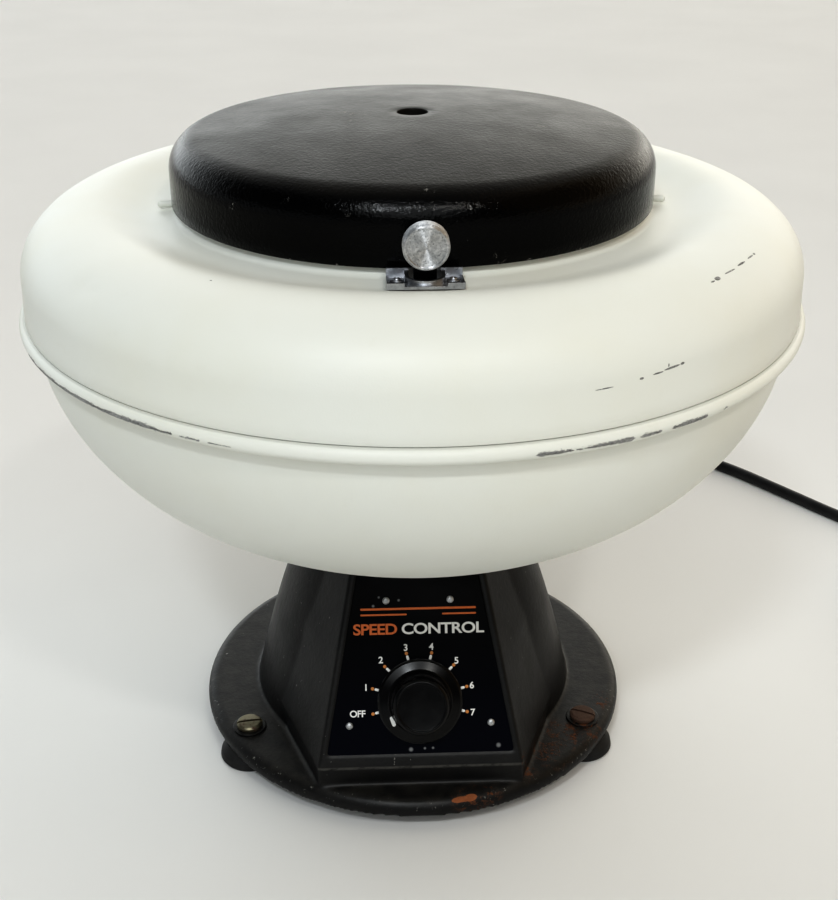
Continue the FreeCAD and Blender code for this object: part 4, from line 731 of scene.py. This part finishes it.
MATERIALS = {
    "cream_paint": cream_paint(),
    "black_enamel": black_enamel(),
    "black_casting": black_casting(),
    "panel_navy": panel_navy(),
    "knob_black": knob_black(),
    "aluminium_turned": aluminium_turned(),
    "aluminium_pressed": scratched_metal("aluminium_pressed", (0.56, 0.57, 0.59), (0.27, 0.28, 0.30), 0.22,
            (0.4, 2.0, 1.0), 0.6),
    "steel_worn": steel_worn(),
    "steel_bright": scratched_metal("steel_bright", (0.72, 0.72, 0.72), (0.56, 0.56, 0.55), 0.18, (1.0, 1.0,
            0.3), 0.2),
    "steel_sheet": scratched_metal("steel_sheet", (0.50, 0.51, 0.52), (0.36, 0.37, 0.37), 0.34, (1.0, 1.0,
            1.0), 0.35),
    "steel_ground": scratched_metal("steel_ground", (0.62, 0.62, 0.63), (0.50, 0.50, 0.51), 0.16, (1.0, 1.0,
            4.0), 0.1),
    "laminations": stacked_sheets(),
    "copper_wire": wound_wire(),
    "brass_part": scratched_metal("brass_part", (0.74, 0.54, 0.22), (0.55, 0.38, 0.14), 0.24, (1.0, 1.0,
            2.0), 0.25),
    "carbon": carbon(),
    "ceramic": fired_clay(),
    "cast_aluminium": scratched_metal("cast_aluminium", (0.60, 0.61, 0.62), (0.46, 0.47, 0.48), 0.38, (1.0,
            1.0, 1.0), 0.45, 0.12),
    "rubber_black": rubber("rubber_black", (0.010, 0.010, 0.010), 0.58),
    "cord_black": rubber("cord_black", (0.0065, 0.0065, 0.0070), 0.36, 1.2, 0.015),
    "plug_black": rubber("plug_black", (0.008, 0.008, 0.009), 0.46, 0.6, 0.03),
}
INK_WHITE = print_ink("ink_white", (0.72, 0.72, 0.70))
INK_ORANGE = print_ink("ink_orange", (0.58, 0.15, 0.03))
INK_FADED = print_ink("ink_faded", (0.47, 0.19, 0.045))


# Camera, light and floor come before the pieces, then the cord


def add_camera():
    data = bpy.data.cameras.new("camera")
    data.sensor_width = 36.0
    data.lens = CAMERA_LENS
    data.shift_x = CAMERA_SHIFT
    data.clip_start = 0.01
    data.clip_end = 30.0
    camera = linked("camera", data)
    camera.location = CAMERA_PLACE
    camera.rotation_euler = (math.radians(90.0 - CAMERA_PITCH), 0.0, math.radians(-CAMERA_HEADING))
    bpy.context.scene.camera = camera


def area_light(name, place, size, power, color):
    data = bpy.data.lights.new(name, "AREA")
    data.shape = "RECTANGLE"
    data.size, data.size_y = size
    data.energy = power
    data.color = color
    light = linked(name, data)
    light.location = place
    light.rotation_euler = (Vector(LIGHT_TARGET) - Vector(place)).to_track_quat("-Z", "Y").to_euler()


def add_world():
    """Soft surroundings: bright behind the object, dim high in front, pale all round near the horizon."""
    world = bpy.data.worlds.new("studio")
    bpy.context.scene.world = world
    world.use_nodes = True
    tree = world.node_tree
    tree.nodes.clear()
    output = tree.nodes.new("ShaderNodeOutputWorld")
    background = tree.nodes.new("ShaderNodeBackground")
    direction = tree.nodes.new("ShaderNodeTexCoord")
    split = tree.nodes.new("ShaderNodeSeparateXYZ")
    tree.links.new(direction.outputs["Generated"], split.inputs[0])

    def ramp(output_index, values):
        made = tree.nodes.new("ShaderNodeMapRange")
        made.interpolation_type = "SMOOTHSTEP"
        for i, value in enumerate(values):
            made.inputs[i + 1].default_value = value
        tree.links.new(split.outputs[output_index], made.inputs[0])
        return made.outputs[0]

    strength = tree.nodes.new("ShaderNodeMath")
    strength.operation = "MULTIPLY"
    tree.links.new(ramp(1, WORLD_BEHIND), strength.inputs[0])
    tree.links.new(ramp(2, WORLD_UPWARD), strength.inputs[1])
    backdrop = tree.nodes.new("ShaderNodeMath")
    backdrop.operation = "MAXIMUM"
    tree.links.new(strength.outputs[0], backdrop.inputs[0])
    tree.links.new(ramp(2, WORLD_HORIZON), backdrop.inputs[1])
    tint = tree.nodes.new("ShaderNodeMix")
    tint.data_type = "RGBA"
    tree.links.new(ramp(0, WORLD_TINT), tint.inputs[0])
    tint.inputs[6].default_value = COOL_TINT
    tint.inputs[7].default_value = WARM_TINT
    tree.links.new(tint.outputs[2], background.inputs["Color"])
    tree.links.new(backdrop.outputs[0], background.inputs["Strength"])
    tree.links.new(background.outputs[0], output.inputs["Surface"])


def sun_light(name, direction, spread, strength, color):
    """Even light that travels along a direction, soft by the spread in degrees."""
    data = bpy.data.lights.new(name, "SUN")
    data.energy = strength
    data.angle = math.radians(spread)
    data.color = color
    light = linked(name, data)
    light.rotation_euler = Vector(direction).to_track_quat("-Z", "Y").to_euler()


def add_light():
    for sun in SUNS:
        sun_light(*sun)
    for window in WINDOWS:
        area_light(*window)


def add_floor():
    half = FLOOR_HALF
    bm = bmesh.new()
    bm.faces.new([bm.verts.new((x, y, 0.0)) for x, y in ((-half, -half), (half, -half), (half, half),
            (-half, half))])
    mesh = mesh_of("floor", bm)
    mesh.materials.append(floor_surface())
    floor = linked("floor", mesh)


def coil_points():
    """Turns of the put-away cord, clockwise from above: two abreast on the floor, then two on top."""
    outer = COIL_MID_R + COIL_PITCH / 2
    inner = COIL_MID_R - COIL_PITCH / 2
    high = COIL_FLOOR_Z + COIL_PITCH
    stages = [(outer, COIL_FLOOR_Z), (inner, COIL_FLOOR_Z), (inner, high), (outer, high)]
    start = 44.0
    swing = 44.0
    blend = 0.22
    points = []
    count = COIL_POINTS_PER_TURN
    total = len(stages) * count + round(swing / 360.0 * count)
    for k in range(total + 1):
        turn = k / count
        stage = min(int(turn), len(stages) - 1)
        radius, height = stages[stage]
        into_next = (turn - stage - (1.0 - blend)) / blend
        if into_next > 0.0 and stage < len(stages) - 1:
            share = into_next * into_next * (3.0 - 2.0 * into_next)
            radius += (stages[stage + 1][0] - radius) * share
            height += (stages[stage + 1][1] - height) * share
        angle = start - 360.0 * turn
        x, y = polar(radius, angle, COIL_CENTRE)
        points.append((x, y, height))
    return points


def add_cord():
    data = bpy.data.curves.new("mains_lead", "CURVE")
    data.dimensions = "3D"
    data.bevel_depth = CORD_DIAMETER / 2
    data.bevel_resolution = 8
    data.resolution_u = 12
    data.use_fill_caps = True
    points = CORD_ROUTE + coil_points() + TAIL_ROUTE
    spline = data.splines.new("NURBS")
    spline.points.add(len(points) - 1)
    for point, place in zip(spline.points, points):
        point.co = (*place, 1.0)
    spline.order_u = 3
    spline.use_endpoint_u = True
    data.materials.append(MATERIALS["cord_black"])
    lead = linked("mains_lead", data)
    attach(lead, "base")
    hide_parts("mains_cord", "cord_coil")
    return lead


# Sheet-metal housing


def shell_height(radius):
    """Height of the top shell's outside: an elliptical shoulder, a crown, then a shallow valley."""
    if radius >= CROWN_R:
        across = (radius - CROWN_R) / (SHELL_WALL_R - CROWN_R)
        return SHOULDER_Z + (CROWN_Z - SHOULDER_Z) * math.sqrt(max(1.0 - across * across, 0.0))
    if radius <= VALLEY_R:
        return VALLEY_Z
    fall = 0.5 - 0.5 * math.cos(math.pi * (CROWN_R - radius) / (CROWN_R - VALLEY_R))
    return CROWN_Z - (CROWN_Z - VALLEY_Z) * fall


def shell_profile():
    """The shell's outside from the top of its wall to the foot of the neck."""
    steps = 28
    shoulder = []
    for i in range(steps + 1):
        x, y = polar(1.0, 90.0 * i / steps)
        shoulder.append((CROWN_R + (SHELL_WALL_R - CROWN_R) * x, SHOULDER_Z + (CROWN_Z - SHOULDER_Z) * y))
    valley_end = NECK_R + NECK_FILLET_R
    inward = [CROWN_R + (valley_end - CROWN_R) * (i + 1) / steps for i in range(steps)]
    return shoulder + [(radius, shell_height(radius)) for radius in inward]


DENTS = [(-51.9, 172.3, 279.7, 7.0, 0.7), (-49.0, 171.0, 280.5, 3.0, 0.5), (118.0, 170.0, 281.0, 9.0, 0.5),
        (62.0, 178.0, 271.0, 6.0, 0.35)]


def hand_formed(r, z, angle):
    """Slight unevenness of spun and repainted sheet, and a few dents."""
    x, y = r * math.cos(angle), r * math.sin(angle)
    lift = 0.16 * noise.noise(Vector((x, y, z)) * 0.016) + 0.05 * noise.noise(Vector((x, y, z + 90.0)) * 0.06)
    for degrees, radius, height, size, depth in DENTS:
        px, py = at_azimuth(radius, degrees)
        away = math.dist((x, y, z), (px, py, height)) / size
        if away < 2.5:
            lift -= depth * math.exp(-away * away * 1.6)
    return r + lift * 0.7, z + lift * 0.7


def add_top_shell():
    outer = shell_profile()
    inner = offset(outer, SHEET)
    inner[0] = (SHELL_WALL_R - SHEET, SHOULDER_Z)
    inner[-1] = (outer[-1][0], outer[-1][1] - SHEET)
    fillet = (NECK_R + NECK_FILLET_R, VALLEY_Z + NECK_FILLET_R)
    lap_r = BOWL_R - SHEET - 0.3
    lap_z = RIM_Z - 7.0
    foot_in = SHELL_FOOT_Z + SHEET
    outline = [(SHELL_FOOT_R - 0.7, SHELL_FOOT_Z), (SHELL_FOOT_R - 0.2, SHELL_FOOT_Z + 0.15), (SHELL_FOOT_R,
            SHELL_FOOT_Z + 0.6),
               (SHELL_FOOT_R - 0.2, SHELL_FOOT_Z + 6.0), (SHELL_WALL_R + 0.1, SHOULDER_Z - 5.0)]
    outline += outer
    outline += arc(NECK_FILLET_R, 270.0, 180.0, fillet)
    outline += arc(1.0, 0.0, 180.0, (NECK_R - 1.0, NECK_TOP_Z - 1.0), 6)
    outline += arc(NECK_FILLET_R + SHEET, 180.0, 270.0, fillet)
    outline += inner[::-1]
    outline += [(SHELL_FOOT_R - SHEET, foot_in), (lap_r - SHEET, foot_in), (lap_r - SHEET, lap_z), (lap_r,
            lap_z),
                (lap_r, SHELL_FOOT_Z)]
    shell = lathe("top_shell_skin", outline, "base", MATERIALS["cream_paint"], 360, 40.0, wobble=hand_formed)
    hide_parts("top_shell")


def add_guard_bowl():
    steps = 56
    start_angle = math.acos((BOWL_SEAT_R / BOWL_R) ** (BOWL_POWER_R / 2.0))

    def side(inset):
        points = []
        for i in range(steps + 1):
            angle = start_angle * (1.0 - i / steps)
            radius = (BOWL_R - inset) * math.cos(angle) ** (2.0 / BOWL_POWER_R)
            points.append((radius,
                    BOWL_TOP_Z - (BOWL_DEPTH - inset) * math.sin(angle) ** (2.0 / BOWL_POWER_Z)))
        return points

    floor = BOWL_SEAT_Z + SHEET
    outline = [(BOWL_HOLE_R, BOWL_SEAT_Z), (BOWL_SEAT_R - 4.0, BOWL_SEAT_Z), (BOWL_SEAT_R - 1.0,
            BOWL_SEAT_Z + 0.1)]
    outline += side(0.0)
    outline += [(BOWL_R, RIM_Z - 2.4)]
    outline += arc(RIM_BEAD_R, 212.0, 450.0, (RIM_R - RIM_BEAD_R, RIM_Z), 22)
    outline += [(BOWL_R, RIM_Z + 2.6), (BOWL_R - SHEET, RIM_Z + 1.0)]
    outline += side(SHEET)[::-1]
    outline += [(BOWL_SEAT_R - 6.0, floor), (BOWL_HOLE_R, floor)]
    bowl = lathe("guard_bowl_skin", outline, "base", MATERIALS["cream_paint"], 360, 50.0, wobble=hand_formed)
    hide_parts("guard_bowl")


def lid_profile(inset, steps=18):
    corner_r = LID_R - LID_CORNER_R
    corner = arc(LID_CORNER_R - inset, 0.0, LID_CORNER_END, (corner_r, LID_WALL_TOP_Z), steps)
    full_end = polar(LID_CORNER_R, LID_CORNER_END, (corner_r, LID_WALL_TOP_Z))
    rise = LID_TOP_Z - full_end[1]
    dome_r = (full_end[0] ** 2 + rise ** 2) / (2 * rise)
    dome = []
    for i in range(1, steps + 1):
        radius = corner[-1][0] + (SIGHT_HOLE_R + 0.5 - corner[-1][0]) * i / steps
        dome.append((radius, LID_TOP_Z - dome_r + math.sqrt((dome_r - inset) ** 2 - radius ** 2)))
    return corner + dome


def add_lid():
    outer = lid_profile(0.0)
    inner = lid_profile(LID_SHEET)
    lip_low = LID_TOP_Z - LID_SHEET - 2.6
    outline = [(LID_R - LID_SHEET, LID_BOTTOM_Z + 0.3), (LID_R - 1.1, LID_BOTTOM_Z), (LID_R - 0.4,
            LID_BOTTOM_Z),
               (LID_R, LID_BOTTOM_Z + 0.5), (LID_R, LID_BOTTOM_Z + 5.0)]
    outline += outer
    outline += [(SIGHT_HOLE_R + 0.15, outer[-1][1] - 0.2), (SIGHT_HOLE_R, outer[-1][1] - 0.7),
            (SIGHT_HOLE_R, lip_low),
                (SIGHT_HOLE_R + 1.4, lip_low), (SIGHT_HOLE_R + 1.4, inner[-1][1])]
    outline += inner[-2::-1]
    lid = lathe("lid_skin", outline, "lid", MATERIALS["black_enamel"], 320, 40.0, wobble=hand_formed)
    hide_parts("lid")


# Base and control panel


def soften(node_name, voxel_mm, rounds):
    """Rounds a cast part's edges and inner corners by remeshing it finely and smoothing it."""
    node = frame["nodes"][node_name]
    weld = node.modifiers.new("weld", "WELD")
    weld.merge_threshold = 0.00002
    remesh = node.modifiers.new("remesh", "REMESH")
    remesh.mode = "VOXEL"
    remesh.voxel_size = voxel_mm * MM
    remesh.use_smooth_shade = True
    smooth = node.modifiers.new("smooth", "SMOOTH")
    smooth.factor = 0.5
    smooth.iterations = rounds


def break_edges(node_names, width_mm=0.25):
    """Small bevels on the edges of machined and pressed parts."""
    for name in node_names:
        node = frame["nodes"][name]
        weld = node.modifiers.new("weld", "WELD")
        weld.merge_threshold = 0.00001
        bevel = node.modifiers.new("bevel", "BEVEL")
        bevel.width = width_mm * MM
        bevel.segments = 2
        bevel.limit_method = "ANGLE"
        bevel.angle_limit = math.radians(38.0)
        bevel.use_clamp_overlap = True
        weighted = node.modifiers.new("weighted", "WEIGHTED_NORMAL")
        weighted.keep_sharp = False


def prism(outline, levels):
    """bmesh of a convex outline of (x, y) lofted through (height, inset) levels and capped."""
    bm = bmesh.new()
    count = len(outline)
    middle = Vector((sum(p[0] for p in outline) / count, sum(p[1] for p in outline) / count))
    rings = []
    for height, inset in levels:
        ring = []
        for i, p in enumerate(outline):
            before, here, after = Vector(outline[i - 1]), Vector(p), Vector(outline[(i + 1) % count])
            into = Vector((0.0, 0.0))
            for side in (here - before, after - here):
                square = Vector((-side.y, side.x)).normalized()
                into += square if square.dot(middle - here) > 0 else -square
            moved = here + into.normalized() * inset
            ring.append(bm.verts.new((moved.x, moved.y, height)))
        rings.append(ring)
    for low, high in zip(rings, rings[1:]):
        for i in range(count):
            bm.faces.new((low[i], low[(i + 1) % count], high[(i + 1) % count], high[i]))
    bm.faces.new(rings[0][::-1])
    bm.faces.new(rings[-1])
    return bm


def add_panel_plate():
    """Trapezoidal plate with rounded corners and a softened edge, set flush in the casting."""
    foot = -(DIAL_Z - PANEL_FOOT_Z) / math.cos(math.radians(PANEL_SLOPE))

    def half(v):
        return PANEL_HALF_WIDTH_FOOT - (v - foot) * PANEL_TAPER - PANEL_BORDER
    corners = [(-half(PLATE_BOTTOM), PLATE_BOTTOM, 1.6), (half(PLATE_BOTTOM), PLATE_BOTTOM, 1.6),
               (half(PLATE_TOP), PLATE_TOP, 1.6), (-half(PLATE_TOP), PLATE_TOP, 1.6)]
    bm = prism(rounded(corners, 5), [(-PLATE_THICKNESS, 0.0), (-0.22, 0.0), (-0.06, 0.08), (0.0, 0.3)])
    plate = finish_mesh("panel_face", bm, "base", MATERIALS["panel_navy"], 50.0, panel_matrix())
    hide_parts("control_panel_plate")


def print_text(name, text, height, place, ink, width=None):
    """Flat printed lettering on the panel: height is that of a capital, place its middle, in millimetres."""
    data = bpy.data.curves.new(name, "FONT")
    data.body = text
    data.size = height / 0.72
    data.align_x = "CENTER"
    data.align_y = "CENTER"
    data.extrude = 0.02
    data.offset = 0.035 * height
    data.resolution_u = 6
    data.space_character = 0.94
    source = linked(name + "_source", data)
    bpy.context.view_layer.update()
    mesh = bpy.data.meshes.new_from_object(source.evaluated_get(bpy.context.evaluated_depsgraph_get()))
    bpy.data.objects.remove(source)
    across = max(v.co.x for v in mesh.vertices) - min(v.co.x for v in mesh.vertices)
    stretch = 1.0 if width is None else width / across
    mesh.transform(Matrix.Diagonal((stretch * MM, MM, MM, 1.0)))
    mesh.name = name
    mesh.materials.clear()
    mesh.materials.append(ink)
    piece = linked(name, mesh)
    piece.matrix_world = panel_matrix() @ Matrix.Translation((place[0] * MM, place[1] * MM, PRINT_LIFT * MM))
    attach(piece, "base")


def stadium(length, width, steps=6):
    """Outline of a bar with round ends along y."""
    reach = length / 2 - width / 2
    return arc(width / 2, 0.0, 180.0, (0.0, reach), steps) + arc(width / 2, 180.0, 360.0, (0.0, -reach),
            steps)


def print_bars(name, bars, ink):
    """Printed marks on the panel, joined into one piece: (x, v, angle, length, width) each."""
    parts = []
    for x, v, degrees, length, width in bars:
        place = Matrix.Translation((x, v, 0.02)) @ Matrix.Rotation(math.radians(degrees), 4, "Z")
        parts.append((prism(stadium(length, width), [(0.0, 0.0), (0.03, 0.0), (0.04, 0.03)]), place))
    finish_mesh(name, joined(parts), "base", ink, 40.0, panel_matrix())


def add_dial_print():
    """Dial numbers and marks, a plain functional title, and two rules in place of the small lettering."""
    ticks, dots = [], []
    for i in range(8):
        turn = 105.0 - 30.0 * i
        x, v = polar(1.0, turn + 90.0)
        ticks.append((x * TICK_R, v * TICK_R, turn, 2.6, 1.3))
        dots.append((x * DOT_R, v * DOT_R, turn, 1.75, 1.7))
    print_bars("dial_ticks", ticks, INK_WHITE)
    print_bars("dial_dots", dots, INK_FADED)
    for label, place in DIAL_LABELS.items():
        print_text("dial_" + label, label, 3.3, place, INK_WHITE)
    print_text("title_first", "SPEED", 5.3, (-21.2, 34.9), INK_ORANGE, 21.5)
    print_text("title_second", "CONTROL", 5.3, (11.8, 34.9), INK_WHITE, 40.5)
    rules = [(0.0, 45.0, 90.0, 56.8, 1.1), (-17.0, 42.2, 90.0, 22.8, 0.9), (20.0, 42.2, 90.0, 16.8, 0.9)]
    print_bars("printed_rules", rules, INK_ORANGE)


def add_speed_knob():
    """Skirted control knob with a drum grip, a ringed cap and a white bar on the skirt that is a painted
    highlight.
    """
    corners = [(0.0, 1.0, 0.0), (20.6, 1.0, 0.4), (21.0, 2.6, 0.7), (19.6, 3.5, 0.8), (15.6, 4.6, 1.2),
            (14.6, 6.4, 1.0),
               (13.5, 17.2, 0.9), (12.3, 18.4, 0.5), (11.6, 18.4, 0.3), (11.2, 17.9, 0.3), (0.0, 17.9, 0.0)]
    knob = lathe("speed_knob_grip", rounded(corners, 5), "speed_control", MATERIALS["knob_black"], 128, 45.0,
                 matrix=panel_matrix())
    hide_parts("speed_knob")
    # Painted highlight: a white bar laid round the skirt where the light glints on it.
    x, v = polar(16.3, 214.0)
    mark = prism(stadium(5.2, 1.9), [(3.6, 0.0), (4.72, 0.0), (4.85, 0.12)])
    place = Matrix.Translation((x * MM, v * MM, 0.0)) @ Matrix.Rotation(math.radians(199.0), 4, "Z")
    finish_mesh("speed_knob_painted_highlight", mark, "speed_control", INK_WHITE, 40.0, panel_matrix() @ place)


# Latch and small parts


def add_latch_knob():
    """Turned aluminium knob with a stepped, ringed face; its axis runs out through the lid's front."""
    corners = [(2.5, 121.4, 0.0), (4.5, 121.4, 0.3), (4.5, 124.4, 0.2), (8.8, 124.4, 0.5), (9.1, 125.1,
            0.4), (9.1, 129.8, 0.5),
               (8.4, 131.0, 0.3), (7.7, 131.0, 0.2), (7.4, 130.65, 0.15), (0.0, 130.65, 0.0), (0.0, 128.0,
                       0.0), (2.5, 128.0, 0.0)]
    matrix = Matrix.Translation((0.0, 0.0, LATCH_Z * MM)) @ Matrix.Rotation(math.radians(90.0), 4, "X")
    knob = lathe("latch_knob_turned", rounded(corners, 3), "latch", MATERIALS["aluminium_turned"], 96, 35.0,
            matrix=matrix)
    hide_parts("latch_knob")


def joined(parts):
    """One bmesh out of (bmesh, matrix) pairs."""
    whole = bmesh.new()
    for part, matrix in parts:
        bmesh.ops.transform(part, matrix=matrix, verts=part.verts)
        mesh = mesh_of("part", part)
        whole.from_mesh(mesh)
        bpy.data.meshes.remove(mesh)
    return whole


def add_shell_rivets():
    """Tubular rivets: a flat flange with a small rolled eye."""
    corners = [(0.0, -1.5, 0.0), (1.45, -1.5, 0.0), (1.45, 0.0, 0.0), (2.75, 0.0, 0.15), (2.75, 0.55, 0.25),
            (1.55, 0.75, 0.15),
               (1.4, 1.35, 0.25), (0.8, 1.35, 0.25), (0.75, 0.5, 0.15), (0.0, 0.5, 0.0)]
    parts = []
    for x, y, seat, slope in RIVETS:
        tilt = Matrix.Rotation(math.atan(slope), 4, "X")
        parts.append((revolve(rounded(corners, 3), 40), Matrix.Translation((x, y, seat)) @ tilt))
    rivets = finish_mesh("tubular_rivets", joined(parts), "base", MATERIALS["aluminium_pressed"], 35.0)
    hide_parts("shell_rivets")


def add_panel_screws():
    """Small slotted round-head screws, dulled."""
    corners = [(0.0, -4.0, 0.0), (1.15, -4.0, 0.0), (1.15, 0.0, 0.0), (1.85, 0.0, 0.1), (1.75, 0.35, 0.25),
            (1.1, 0.8, 0.5),
               (0.0, 0.95, 0.0)]
    slot_corners = [(-2.2, -0.16), (2.2, -0.16), (2.2, 0.16), (-2.2, 0.16)]
    parts = []
    grooves = []
    for i, (x, v) in enumerate(PANEL_SCREWS):
        place = Matrix.Translation((x, v, 0.0)) @ Matrix.Rotation(math.radians(25.0 + 67.0 * i), 4, "Z")
        parts.append((revolve(rounded(corners, 4), 32), place))
        grooves.append((prism(slot_corners, [(0.62, 0.0), (1.2, 0.0)]), place))
    screws = finish_mesh("panel_screw_heads", joined(parts), "base", MATERIALS["steel_sheet"], 35.0,
            panel_matrix())
    cut_away(screws, joined(grooves), panel_matrix())
    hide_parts("panel_screws")


def cut_away(piece, cutter_builder, matrix):
    """Cuts the bmesh, in millimetres, out of a piece."""
    bmesh.ops.recalc_face_normals(cutter_builder, faces=cutter_builder.faces)
    mesh = mesh_of("cutter", cutter_builder)
    mesh.transform(Matrix.Scale(MM, 4))
    cutter = linked("cutter", mesh)
    cutter.matrix_world = matrix
    cut = piece.modifiers.new("cut", "BOOLEAN")
    cut.object = cutter
    cut.solver = "EXACT"
    bpy.context.view_layer.update()
    result = bpy.data.meshes.new_from_object(piece.evaluated_get(bpy.context.evaluated_depsgraph_get()))
    piece.modifiers.clear()
    piece.data = result
    bpy.data.objects.remove(cutter)


def add_foot_screws():
    """Slotted cheese-head screws on dark washers."""
    corners = [(0.0, 3.0, 0.0), (2.95, 3.0, 0.0), (2.95, 19.0, 0.0), (6.6, 19.0, 0.2), (6.7, 20.6, 0.5),
            (5.6, 21.6, 0.6),
               (0.0, 21.9, 0.0)]
    ring = [(3.0, 18.0, 0.0), (8.6, 18.0, 0.0), (8.6, 18.9, 0.3), (7.8, 19.0, 0.1), (3.0, 19.0, 0.0)]
    slot_corners = [(-8.0, -0.7), (8.0, -0.7), (8.0, 0.7), (-8.0, 0.7)]
    heads, washers, grooves = [], [], []
    for name, degrees in FOOT_ANGLES.items():
        x, y = at_azimuth(FOOT_PITCH_R, degrees)
        place = Matrix.Translation((x, y, 0.0)) @ Matrix.Rotation(math.radians(FOOT_SCREW_SLOTS[name]), 4,
                "Z")
        heads.append((revolve(rounded(corners, 4), 48), place))
        washers.append((revolve(rounded(ring, 3), 48), place))
        grooves.append((prism(slot_corners, [(20.4, 0.0), (23.0, 0.0)]), place))
    screws = finish_mesh("foot_screw_heads", joined(heads), "base", MATERIALS["steel_worn"], 35.0)
    cut_away(screws, joined(grooves), Matrix())
    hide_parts("foot_screws")
    finish_mesh("foot_screw_washers", joined(washers), "base", MATERIALS["black_casting"], 35.0)


def add_feet():
    """Moulded rubber feet, hollow round the screw."""
    for name, degrees in FOOT_ANGLES.items():
        x, y = at_azimuth(FOOT_PITCH_R, degrees)
        corners = [(3.0, 3.0, 0.0), (7.0, 3.0, 0.3), (7.0, 0.0, 0.4), (14.6, 0.0, 1.0), (16.0, 2.0, 0.8),
                (15.4, 5.2, 1.2),
                   (12.5, 9.95, 0.5), (3.0, 9.95, 0.0)]
        foot = lathe("foot_rubber_" + name, rounded(corners, 4), "base", MATERIALS["rubber_black"], 72,
                40.0, (x, y))
        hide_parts("foot_" + name)


def add_strain_relief():
    """Tapered, ribbed rubber grommet in the casting's back wall."""
    corners = [(0.0, 71.5, 0.0), (8.6, 71.5, 0.4), (8.6, 73.0, 0.0), (6.9, 73.0, 0.0), (6.9, 84.6, 0.0),
            (9.0, 84.6, 0.3),
               (9.0, 87.5, 0.8), (6.9, 88.6, 0.4)]
    ribs = 7
    for i in range(ribs):
        start = 91.0 + i * 4.2
        radius = 6.6 - 0.22 * i
        corners += [(radius, start, 0.3), (radius - 0.1, start + 2.5, 0.3), (radius - 0.8, start + 2.9, 0.2),
                    (radius - 0.85, start + 3.8, 0.2)]
    corners += [(5.0, 122.0, 0.4), (0.0, 122.0, 0.0)]
    matrix = Matrix.Translation((0.0, 0.0, CORD_ROUTE[0][2])) @ Matrix.Rotation(math.radians(-90.0), 4, "X")
    relief = lathe("cord_grommet", rounded(corners, 3), "base", MATERIALS["rubber_black"], 64, 40.0,
            matrix=matrix)
    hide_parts("cord_strain_relief")
    return relief


def dress_cad_nodes():
    """Gives each CAD node the material of its slot in the record."""
    for entry in frame["record"]["subparts"]:
        node = frame["nodes"][entry["node"]]
        node.data.materials.clear()
        node.data.materials.append(MATERIALS[entry["material_slot"]])


bpy.context.scene.view_settings.view_transform = "Standard"
bpy.context.scene.view_settings.look = "High Contrast"
add_camera()
add_world()
add_light()
add_floor()
dress_cad_nodes()
add_top_shell()
add_guard_bowl()
add_lid()
soften("base_casting", 1.0, 3)
add_panel_plate()
add_dial_print()
add_speed_knob()
add_latch_knob()
add_shell_rivets()
add_panel_screws()
add_foot_screws()
add_feet()
relief = add_strain_relief()
break_edges(["latch_keeper", "hinge_leaf_fixed", "hinge_leaf_lid", "latch_tongue", "rotor_head", "rotor_nut",
             "plug_blades", "lid_rest_pins"])
lead = add_cord()
